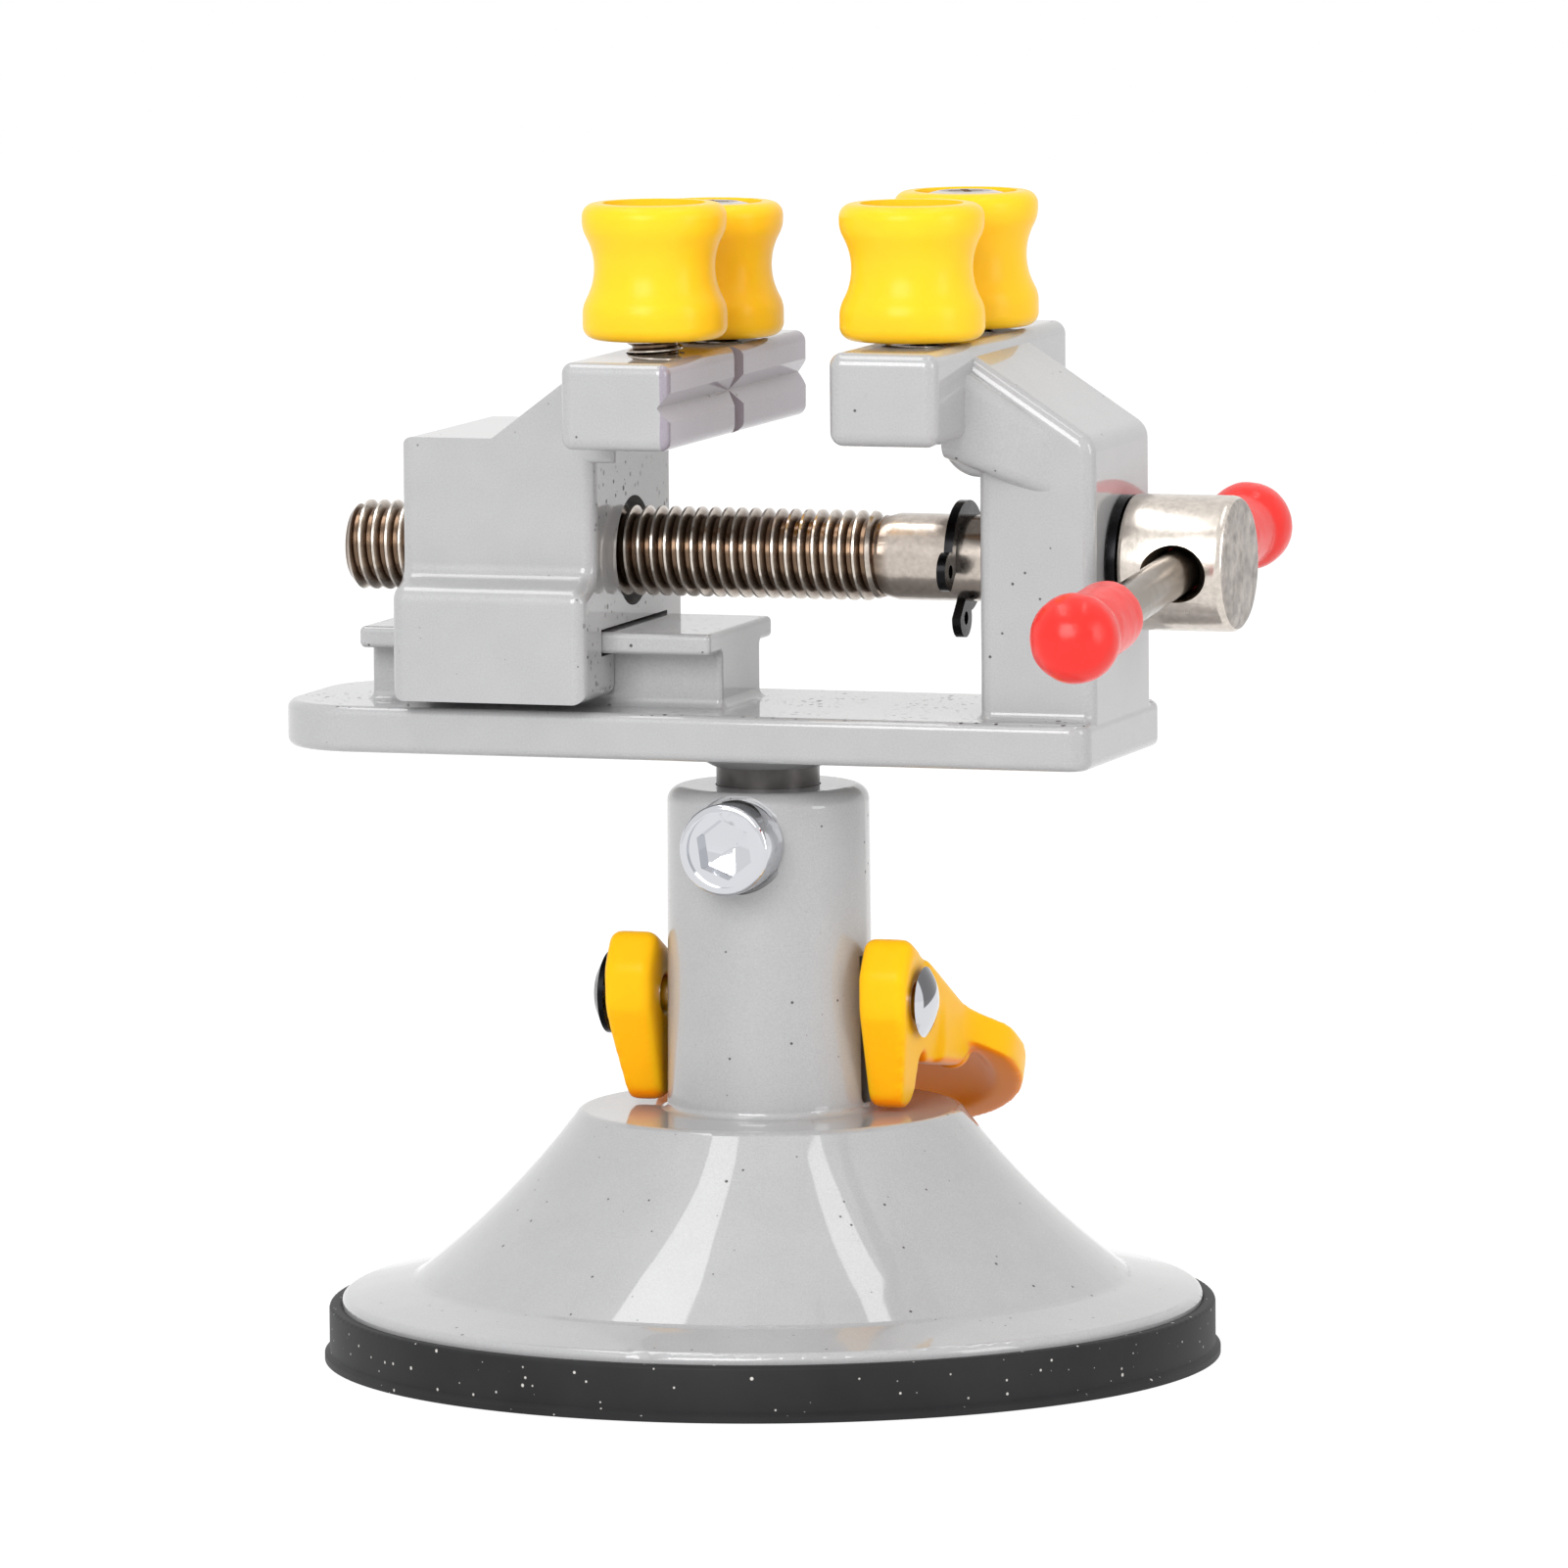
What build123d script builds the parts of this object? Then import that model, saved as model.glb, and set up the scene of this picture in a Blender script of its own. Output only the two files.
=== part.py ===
from build123d import *
from math import cos, radians, sin, tan
import os

# Suction base vise. Millimetres, +Z up, X along the lead screw towards its head,
# -Y is the side of the clamp screw, origin on the bench under the column.

# ---- driving sizes ----------------------------------------------------------------

run_gap = 0.1        # radial clearance of a shaft in its bore
loose_gap = 0.3      # clearance between pieces that pass each other
press_gap = 0.02     # radial clearance of pieces pressed together

# suction pad
pad_radius = 40.0
pad_lip_height = 4.9
pad_lip_width = 1.3
pad_seat = 4.6
pad_web = 2.2
pad_hollow_radius = 31.0
pad_hollow_rise = 2.2
pad_hub_radius = 12.5
pad_hub_height = 6.2

# disc and rod that pull the pad's hub up
disc_radius = 10.0
disc_thickness = 1.6
stub_radius = 2.5
stub_length = 5.0
rod_radius = 4.1
rod_top_cover = 3.6

# base casting: flanged dome and column
flange_edge = 1.1
dome_foot_radius = 32.0
dome_foot = 7.1
dome_sag = 0.75
dome_wall = 3.0
flange_round = 0.7
dome_foot_round = 1.6
shoulder_round = 0.9
column_foot_round = 0.6
shoulder_radius = 17.0
shoulder = 22.2
column_foot_radius = 9.2
column_radius = 9.0
column_top = 51.1
column_round = 1.4
slot_rise = 4.1        # slot's top above the lever pin
slot_half_width = 1.7
slot_foot = 0.7        # slot's bottom above the shoulder

# lever, its pin and push-on nut
pin_rise = 9.8         # above the dome's shoulder
pin_radius = 1.5
pin_head_radius = 3.15
pin_head_rise = 1.1
nut_radius = 3.7
nut_thickness = 0.5
nut_dish = 0.8
cheek_gap = 0.4        # between a cheek and the column's foot
cheek_thickness = 4.6
cheek_front = 4.9
cheek_rise = 6.2
lever_round = 1.0
cam_half_width = 1.9
arm_angle = 26.5
arm_level = 4.85
paddle_thickness = 3.1
paddle_half_width = 17.0
paddle_reach = 36.9
paddle_roof = 1.6
paddle_rim = 2.2
fork_reach = 14.0

# swivel post and its clamp screw
post_radius = 4.6
post_below_clamp = 8.2
post_groove_depth = 1.0
post_spigot_radius = 3.0
post_spigot_length = 3.6
clamp_drop = 4.5       # clamp screw below the column's top
clamp_radius = 2.5
clamp_head_radius = 4.1
clamp_head_length = 4.6
clamp_seat = 8.4
clamp_hex = 4.0

# vise body: plate, boss, rail, upright and fixed jaw
plate_lift = 3.1       # above the column's top
plate_thickness = 4.15
plate_left = -43.4
plate_right = 33.1
plate_half_width = 12.0
plate_end_round = 8.0
plate_corner_round = 2.0
plate_edge_round = 0.8
cast_round = 1.2
thin_round = 0.5
foot_round = 0.8
sink = 2.0             # how far a casting's member reaches into the one it grows from
boss_radius = 7.6
boss_drop = 1.3
boss_tip_radius = 5.1
rail_left = -35.3
rail_right = -2.4
rail_web_half = 5.5
rail_web_height = 4.95
rail_half_width = 8.9
rail_thickness = 1.9
upright_left = 22.4
upright_setback = 0.1  # from the plate's end
upright_half_width = 9.0
upright_corner_round = 2.0
fixed_face = 12.2
fixed_head_length = 9.9
fixed_head_height = 8.2
fixed_head_step = 1.3  # above the movable jaw's top
gusset_half_width = 12.0
gusset_drop = 1.1
gusset_inset = 0.8
head_half_width = 20.0
arch_round = 3.5

# movable jaw
jaw_face = -2.4
jaw_head_length = 10.0
jaw_head_height = 7.7
jaw_rise = 18.3        # jaw's top above the lead screw
jaw_left = -30.5
jaw_half_width = 11.0
jaw_lap = 0.1          # body's top above the head's underside
jaw_gusset_left = -22.0
jaw_gusset_drop = 0.4
jaw_head_round = 1.0
skirt_half_width = 14.0
skirt_lift = 0.85      # above the plate
skirt_height = 9.8
skirt_round = 1.5
skirt_slope = 1.3
vee_depth = 1.0
vee_half_width = 1.3
bore_counter_radius = 4.9
bore_counter_depth = 1.6

# lead screw, washer and circlip
screw_rise = 13.35     # above the plate's top
screw_left = -38.5
thread_right = 11.2
thread_radius = 4.0
shank_radius = 3.85
screw_head_left = 34.0
screw_head_length = 9.9
screw_head_radius = 6.0
washer_thickness = 0.8
washer_radius = 5.9
clip_left = 18.0
clip_thickness = 0.8
clip_groove_depth = 0.25
clip_width = 1.3
clip_lug_radius = 1.7
clip_lug_reach = 5.35
clip_lug_angle = 36.7
clip_turn = 225.0

# tommy bar and its caps
bar_past_middle = 0.35 # bar's axis beyond the middle of the screw's head
bar_tilt = 5.2
bar_radius = 1.95
bar_hole_radius = 2.15
cap_spacing = 53.4
bar_rest_offset = -8.7
cap_radius = 4.0
cap_neck_radius = 3.25
cap_neck_length = 10.0
cap_cover = 2.4

# pegs on the jaws and their screws
peg_spacing = 16.0
movable_peg_x = -7.5
fixed_peg_x = 16.3
peg_height = 12.0
peg_rim_radius = 6.4
peg_waist_radius = 5.35
peg_rim_height = 3.0
peg_round = 1.2
peg_rim_round = 3.0
peg_screw_radius = 2.5
peg_head_radius = 4.4
peg_head_thickness = 1.6
peg_screw_length = 18.0
peg_backed_out = 1.0
peg_head_sink = {"front": 0.8, "rear": 0.0}
peg_head_dome = 0.5


os.makedirs("parts", exist_ok=True)


# ---- helpers ----------------------------------------------------------------------

def corner(sketch, x, y):
    """The sketch's vertex nearest to a point."""
    return sketch.vertices().sort_by_distance((x, y))[0]


def write(part, name):
    part.label = name
    export_step(part, f"parts/{name}.step")


# ---- levels, from the bench up ------------------------------------------------------

pin_height = shoulder + pin_rise
slot_top = pin_height + slot_rise
clamp_height = column_top - clamp_drop
post_foot = clamp_height - post_below_clamp
plate_bottom = column_top + plate_lift
plate_top = plate_bottom + plate_thickness
screw_height = plate_top + screw_rise
skirt_bottom = plate_top + skirt_lift
skirt_top = skirt_bottom + skirt_height
jaw_head_top = screw_height + jaw_rise
jaw_head_bottom = jaw_head_top - jaw_head_height
jaw_top = jaw_head_bottom + jaw_lap
fixed_head_top = jaw_head_top + fixed_head_step
fixed_head_bottom = fixed_head_top - fixed_head_height
upright_top = fixed_head_bottom - jaw_lap


# ---- axes and planes of the lever pin ---------------------------------------------

pin_axis = Axis((0, 0, pin_height), (1, 0, 0))
pin_plane = Plane(origin=(0, 0, pin_height), x_dir=(1, 0, 0), z_dir=(0, -1, 0))
side_plane = Plane(origin=(0, 0, pin_height), x_dir=(0, 1, 0), z_dir=(1, 0, 0))


# ---- suction pad, disc and rod ----------------------------------------------------

flange_radius = pad_radius - pad_lip_width - loose_gap
disc_bottom = pad_hollow_rise + pad_web
disc_top = disc_bottom + disc_thickness

with BuildPart() as suction_pad:
    with BuildSketch(Plane.XZ):
        with BuildLine():
            Polyline(
                (pad_hollow_radius, 0),
                (pad_radius, 0),
                (pad_radius, pad_lip_height),
                (pad_radius - pad_lip_width, pad_lip_height),
                (pad_radius - pad_lip_width, pad_seat),
                (pad_hollow_radius, pad_seat),
                (pad_hub_radius + pad_web, disc_bottom),
                (pad_hub_radius, disc_bottom),
                (pad_hub_radius, pad_hub_height),
                (disc_radius + run_gap, pad_hub_height),
                (disc_radius + run_gap, disc_bottom),
                (0, disc_bottom),
                (0, pad_hollow_rise),
            )
            Line((0, pad_hollow_rise), (pad_hollow_radius, 0))
        make_face()
    revolve(axis=Axis.Z)
write(suction_pad.part, "suction_pad")

with BuildPart() as pad_disc:
    with BuildSketch(Plane.XY.offset(disc_bottom)):
        Circle(disc_radius)
    extrude(amount=disc_thickness)
    with BuildSketch(Plane.XY.offset(disc_top)):
        Circle(stub_radius)
    extrude(amount=stub_length)
    chamfer(pad_disc.edges().sort_by(Axis.Z)[-1], 0.4)
write(pad_disc.part, "pad_disc")

with BuildPart() as plunger_rod:
    with BuildSketch(Plane.XY.offset(disc_top)):
        Circle(rod_radius)
    extrude(amount=pin_height + rod_top_cover - disc_top)
    chamfer(plunger_rod.edges().sort_by(Axis.Z)[-1], 0.6)
    with BuildSketch(Plane.XY.offset(disc_top)):
        Circle(stub_radius + press_gap)
    extrude(amount=stub_length + loose_gap, mode=Mode.SUBTRACT)
    with BuildSketch(side_plane):
        Circle(pin_radius + press_gap)
    extrude(amount=rod_radius + 1, both=True, mode=Mode.SUBTRACT)
write(plunger_rod.part, "plunger_rod")


# ---- base casting -----------------------------------------------------------------

with BuildPart() as base_casting:
    with BuildSketch(Plane.XZ) as dome:
        with BuildLine():
            Polyline(
                (0, column_top),
                (0, pad_seat),
                (flange_radius, pad_seat),
                (flange_radius, pad_seat + flange_edge),
                (dome_foot_radius, dome_foot),
            )
            SagittaArc((dome_foot_radius, dome_foot), (shoulder_radius, shoulder), dome_sag)
            Polyline(
                (shoulder_radius, shoulder),
                (column_foot_radius, shoulder),
                (column_radius, column_top),
                (0, column_top),
            )
        make_face()
        fillet(corner(dome, flange_radius, pad_seat + flange_edge), flange_round)
        fillet(corner(dome, dome_foot_radius, dome_foot), dome_foot_round)
        fillet(corner(dome, shoulder_radius, shoulder), shoulder_round)
        fillet(corner(dome, column_foot_radius, shoulder), column_foot_round)
        fillet(corner(dome, column_radius, column_top), column_round)
    revolve(axis=Axis.Z)
    # hollow of the dome
    with BuildSketch(Plane.XZ):
        Polygon(
            (0, pad_seat),
            (dome_foot_radius - 0.5, pad_seat),
            (shoulder_radius - dome_wall, shoulder - dome_wall),
            (0, shoulder - dome_wall),
            align=None,
        )
    revolve(axis=Axis.Z, mode=Mode.SUBTRACT)
    # bore for the rod, and above it the wider one for the post
    with BuildSketch(Plane.XY.offset(pad_seat)):
        Circle(rod_radius + 1.5 * run_gap)
    extrude(amount=column_top - pad_seat, mode=Mode.SUBTRACT)
    with BuildSketch(Plane.XY.offset(post_foot - run_gap)):
        Circle(post_radius + run_gap)
    extrude(amount=column_top, mode=Mode.SUBTRACT)
    # slot through both walls, in which the lever pin rises and falls
    slot_bottom = shoulder + slot_foot
    with BuildSketch(Plane.YZ) as slot:
        with Locations((0, (slot_bottom + slot_top) / 2)):
            Rectangle(2 * slot_half_width, slot_top - slot_bottom)
        fillet(slot.vertices().group_by(Axis.Y)[0], 0.45 * slot_half_width)
    extrude(amount=column_foot_radius + 1, both=True, mode=Mode.SUBTRACT)
    # threaded hole and spot face of the clamp screw
    with BuildSketch(Plane.XZ):
        with Locations((0, clamp_height)):
            Circle(clamp_radius + run_gap)
    extrude(amount=column_radius + 1, mode=Mode.SUBTRACT)
    with BuildSketch(Plane.XZ.offset(clamp_seat - run_gap)):
        with Locations((0, clamp_height)):
            Circle(clamp_head_radius + loose_gap)
    extrude(amount=column_radius, mode=Mode.SUBTRACT)
write(base_casting.part, "base_casting")


# ---- lever, pin and push-on nut ---------------------------------------------------

cheek_inside = column_foot_radius + cheek_gap
cheek_outside = cheek_inside + cheek_thickness
cam_reach = pin_rise - loose_gap
slope = tan(radians(arm_angle))
arm_end = fork_reach + 2
arm_drop = paddle_thickness / cos(radians(arm_angle))

with BuildPart() as lever:
    # one cheek in side view: cam finger down, rounded front, arm sloping to the paddle
    with BuildSketch(side_plane.offset(cheek_inside)) as cheek:
        Polygon(
            (-cam_half_width, -cam_reach),
            (-cheek_front, -0.6),
            (-cheek_front, 0.45 * cheek_rise),
            ((arm_level - cheek_rise) / slope, cheek_rise),
            (arm_end, arm_level - slope * arm_end),
            (arm_end, arm_level - slope * arm_end - arm_drop),
            (0.9 * fork_reach, arm_level - slope * fork_reach - arm_drop - 1.8),
            (2.1 * cam_half_width, -0.63 * cam_reach),
            (cam_half_width, -0.38 * cam_reach),
            (cam_half_width, -cam_reach),
            align=None,
        )
        fillet(cheek.vertices().group_by(Axis.Y)[0], 0.9 * cam_half_width)
        fillet(corner(cheek, -cheek_front, -0.6), 3)
        fillet(corner(cheek, -cheek_front, 0.45 * cheek_rise), 2)
        fillet(corner(cheek, (arm_level - cheek_rise) / slope, cheek_rise), 1.2)
        fillet(corner(cheek, cam_half_width, -0.38 * cam_reach), 0.8)
        fillet(corner(cheek, 2.1 * cam_half_width, -0.63 * cam_reach), 1)
    extrude(amount=cheek_thickness)
    fillet(lever.faces().filter_by(Axis.X).edges(), lever_round)
    mirror(about=Plane.YZ)
    # paddle: a sloping plate with a round end, forked round the column
    arm_plane = Plane(
        origin=(0, 0, pin_height + arm_level),
        x_dir=(1, 0, 0),
        z_dir=(0, sin(radians(arm_angle)), cos(radians(arm_angle))),
    )
    along = 1 / cos(radians(arm_angle))
    round_start = (paddle_reach - paddle_half_width) * along
    with BuildSketch(arm_plane) as paddle:
        with BuildLine():
            Line((-cheek_outside, 3), (cheek_outside, 3))
            Line((cheek_outside, 3), (cheek_outside, fork_reach))
            Spline(
                (cheek_outside, fork_reach),
                (paddle_half_width, round_start),
                tangents=[(0, 1), (0, 1)],
            )
            EllipticalCenterArc((0, round_start), paddle_half_width, paddle_half_width * along,
                                start_angle=0, arc_size=180)
            Spline(
                (-paddle_half_width, round_start),
                (-cheek_outside, fork_reach),
                tangents=[(0, -1), (0, -1)],
            )
            Line((-cheek_outside, fork_reach), (-cheek_outside, 3))
        make_face()
        with Locations((0, fork_reach * along - cheek_inside)):
            Circle(cheek_inside, mode=Mode.SUBTRACT)
            Rectangle(2 * cheek_inside, 3 * cheek_inside, align=(Align.CENTER, Align.MAX),
                      mode=Mode.SUBTRACT)
    extrude(amount=-paddle_thickness)
    # dished underside of the paddle
    with BuildSketch(arm_plane.offset(-paddle_roof)) as dish:
        with Locations((0, round_start)):
            Ellipse(paddle_half_width - paddle_rim, paddle_half_width * along - paddle_rim)
        with Locations((0, arm_end * along)):
            Rectangle(2 * paddle_half_width, paddle_reach, align=(Align.CENTER, Align.MIN),
                      mode=Mode.INTERSECT)
    extrude(amount=-paddle_thickness, mode=Mode.SUBTRACT)
    # hole for the pin
    with BuildSketch(side_plane):
        Circle(pin_radius + run_gap)
    extrude(amount=cheek_outside + 1, both=True, mode=Mode.SUBTRACT)
write(lever.part, "lever")

head_seat = cheek_outside + loose_gap
nut_face = -cheek_outside - loose_gap
pin_left = nut_face - nut_dish - nut_thickness - 0.4
dome_radius = (pin_head_radius ** 2 + pin_head_rise ** 2) / (2 * pin_head_rise)

with BuildPart() as lever_pin:
    with BuildSketch(pin_plane) as pin:
        with BuildLine():
            Polyline((head_seat + pin_head_rise, 0), (pin_left, 0), (pin_left, pin_radius),
                     (head_seat, pin_radius), (head_seat, pin_head_radius))
            RadiusArc((head_seat, pin_head_radius), (head_seat + pin_head_rise, 0), dome_radius)
        make_face()
        fillet(corner(pin, pin_left, pin_radius), 0.5)
    revolve(axis=pin_axis)
write(lever_pin.part, "lever_pin")

with BuildPart() as pin_push_nut:
    with BuildSketch(pin_plane):
        Polygon(
            (nut_face, nut_radius),
            (nut_face - nut_thickness, nut_radius),
            (nut_face - nut_dish - nut_thickness, 0.6 * nut_radius),
            (nut_face - nut_dish - nut_thickness, pin_radius + press_gap),
            (nut_face - nut_dish, pin_radius + press_gap),
            (nut_face, 0.8 * nut_radius),
            align=None,
        )
    revolve(axis=pin_axis)
write(pin_push_nut.part, "pin_push_nut")


# ---- swivel post and clamp screw --------------------------------------------------

boss_bottom = plate_bottom - boss_drop
groove_half = clamp_radius + loose_gap

with BuildPart() as swivel_post:
    with BuildSketch(Plane.XZ) as post:
        Polygon(
            (0, post_foot),
            (post_radius, post_foot),
            (post_radius, clamp_height - groove_half),
            (post_radius - post_groove_depth, clamp_height - groove_half),
            (post_radius - post_groove_depth, clamp_height + groove_half),
            (post_radius, clamp_height + groove_half),
            (post_radius, boss_bottom),
            (post_spigot_radius, boss_bottom),
            (post_spigot_radius, boss_bottom + post_spigot_length),
            (0, boss_bottom + post_spigot_length),
            align=None,
        )
        chamfer(corner(post, post_radius, post_foot), 0.6)
    revolve(axis=Axis.Z)
write(swivel_post.part, "swivel_post")

with BuildPart() as clamp_screw:
    clamp_tip = post_radius - post_groove_depth + run_gap
    with BuildSketch(Plane.XZ.offset(clamp_tip)):
        with Locations((0, clamp_height)):
            Circle(clamp_radius)
    extrude(amount=clamp_seat - clamp_tip)
    with BuildSketch(Plane.XZ.offset(clamp_seat)):
        with Locations((0, clamp_height)):
            Circle(clamp_head_radius)
    extrude(amount=clamp_head_length)
    chamfer(clamp_screw.edges().filter_by(GeomType.CIRCLE).sort_by(Axis.Y)[0], 0.4)
    with BuildSketch(Plane.XZ.offset(clamp_seat + clamp_head_length)):
        with Locations((0, clamp_height)):
            RegularPolygon(clamp_hex / 2, 6, major_radius=False)
    extrude(amount=-0.55 * clamp_head_length, mode=Mode.SUBTRACT)
write(clamp_screw.part, "clamp_screw")


# ---- vise body --------------------------------------------------------------------

fixed_head_right = fixed_face + fixed_head_length
rail_top = plate_top + rail_web_height + rail_thickness
upright_right = plate_right - upright_setback
screw_axis = Axis((0, 0, screw_height), (1, 0, 0))

with BuildPart() as rail:
    with BuildSketch(Plane.YZ.offset(rail_left)) as tee:
        with Locations((0, plate_top - sink)):
            Rectangle(2 * rail_web_half, sink + rail_web_height, align=(Align.CENTER, Align.MIN))
        with Locations((0, plate_top + rail_web_height)):
            Rectangle(2 * rail_half_width, rail_thickness, align=(Align.CENTER, Align.MIN))
        for side in (-1, 1):
            fillet(corner(tee, side * rail_web_half, plate_top + rail_web_height), thin_round)
    extrude(amount=rail_right - rail_left)
    flange_edges = rail.edges().filter_by(Axis.X).filter_by_position(
        Axis.Z, plate_top + rail_web_height, rail_top)
    fillet(rail.faces().filter_by(Axis.X).edges() + flange_edges, thin_round)

with BuildPart() as upright:
    # side view: upright, arch under the jaw head and slope behind it
    with BuildSketch(Plane.XZ.offset(-upright_half_width)) as side_view:
        with BuildLine():
            Polyline(
                (upright_left, fixed_head_bottom - arch_round),
                (upright_left, plate_top - sink),
                (upright_right, plate_top - sink),
                (upright_right, upright_top),
                (fixed_head_right, fixed_head_top - gusset_drop),
                (upright_left - arch_round, fixed_head_top - gusset_drop),
                (upright_left - arch_round, fixed_head_bottom),
            )
            RadiusArc((upright_left - arch_round, fixed_head_bottom),
                      (upright_left, fixed_head_bottom - arch_round), -arch_round)
        make_face()
        fillet(corner(side_view, upright_right, upright_top), upright_corner_round)
    extrude(amount=2 * upright_half_width)
    fillet(upright.faces().filter_by(Axis.Y).edges(), cast_round)

with BuildPart() as gusset:
    # widens from the upright to the back of the jaw head
    with BuildSketch(Plane.YZ.offset(upright_right - cast_round)):
        with Locations((0, upright_top - gusset_inset)):
            Rectangle(2 * (upright_half_width - gusset_inset), 0.5 * (upright_top - screw_height),
                      align=(Align.CENTER, Align.MAX))
    with BuildSketch(Plane.YZ.offset(fixed_head_right - sink)):
        with Locations((0, fixed_head_top - gusset_drop)):
            Rectangle(2 * gusset_half_width, fixed_head_height - gusset_drop + 2 * gusset_inset,
                      align=(Align.CENTER, Align.MAX))
    loft()
    end_faces = gusset.faces().filter_by(Axis.X)
    fillet(gusset.edges() - end_faces.edges(), cast_round)

with BuildPart() as vise_body:
    with BuildSketch(Plane.XY.offset(plate_bottom)) as plate:
        with Locations(((plate_left + plate_right) / 2, 0)):
            Rectangle(plate_right - plate_left, 2 * plate_half_width)
        fillet(plate.vertices().group_by(Axis.X)[0], plate_end_round)
        fillet(plate.vertices().group_by(Axis.X)[-1], plate_corner_round)
    extrude(amount=plate_thickness)
    fillet(vise_body.faces().filter_by(Axis.Z).edges(), plate_edge_round)
    # boss under the plate, with the hole of the post's spigot
    with BuildSketch(Plane.XZ):
        Polygon(
            (0, boss_bottom),
            (boss_tip_radius, boss_bottom),
            (boss_radius, plate_bottom),
            (0, plate_bottom),
            align=None,
        )
    revolve(axis=Axis.Z)
    with BuildSketch(Plane.XY.offset(boss_bottom)):
        Circle(post_spigot_radius + press_gap)
    extrude(amount=post_spigot_length + run_gap, mode=Mode.SUBTRACT)
    add(rail.part)
    add(upright.part)
    feet = vise_body.edges().filter_by_position(Axis.Z, plate_top - 0.01, plate_top + 0.01)
    feet = feet.filter_by_position(Axis.Y, -upright_half_width - 0.01, upright_half_width + 0.01)
    fillet(feet.filter_by_position(Axis.X, rail_left - 0.01, plate_right - plate_edge_round), foot_round)
    add(gusset.part)
    with BuildPart(mode=Mode.PRIVATE) as fixed_head:
        with Locations((fixed_face + fixed_head_length / 2, 0, fixed_head_bottom)):
            Box(fixed_head_length, 2 * head_half_width, fixed_head_height,
                align=(Align.CENTER, Align.CENTER, Align.MIN))
        fillet(fixed_head.edges(), cast_round)
    add(fixed_head.part)
    # bore of the lead screw and threaded holes of the pegs
    with BuildSketch(Plane.YZ.offset(upright_left - 1)):
        with Locations((0, screw_height)):
            Circle(shank_radius + run_gap)
    extrude(amount=plate_right - upright_left + 2, mode=Mode.SUBTRACT)
    with BuildSketch(Plane.XY.offset(fixed_head_bottom - 1)):
        with Locations((fixed_peg_x, -peg_spacing / 2), (fixed_peg_x, peg_spacing / 2)):
            Circle(peg_screw_radius + run_gap)
    extrude(amount=fixed_head_height + 2, mode=Mode.SUBTRACT)
write(vise_body.part, "vise_body")


# ---- movable jaw ------------------------------------------------------------------

jaw_right = jaw_face - jaw_head_length
vee_height = (jaw_head_bottom + jaw_head_top) / 2
slot_gap = 0.25

with BuildPart() as jaw_gusset:
    # from the body's top to the back of the head
    with BuildSketch(Plane.XZ.offset(-jaw_half_width)):
        Polygon(
            (jaw_gusset_left, jaw_top - sink),
            (jaw_gusset_left, jaw_top),
            (jaw_right, jaw_head_top - jaw_gusset_drop),
            (jaw_right + sink, jaw_head_top - jaw_gusset_drop),
            (jaw_right + sink, jaw_top - sink),
            align=None,
        )
    extrude(amount=2 * jaw_half_width)
    fillet(jaw_gusset.faces().filter_by(Axis.Y).edges(), thin_round)

with BuildPart() as jaw_head:
    with Locations((jaw_face - jaw_head_length / 2, 0, jaw_head_bottom)):
        Box(jaw_head_length, 2 * head_half_width, jaw_head_height,
            align=(Align.CENTER, Align.CENTER, Align.MIN))
    fillet(jaw_head.edges(), jaw_head_round)

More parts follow.
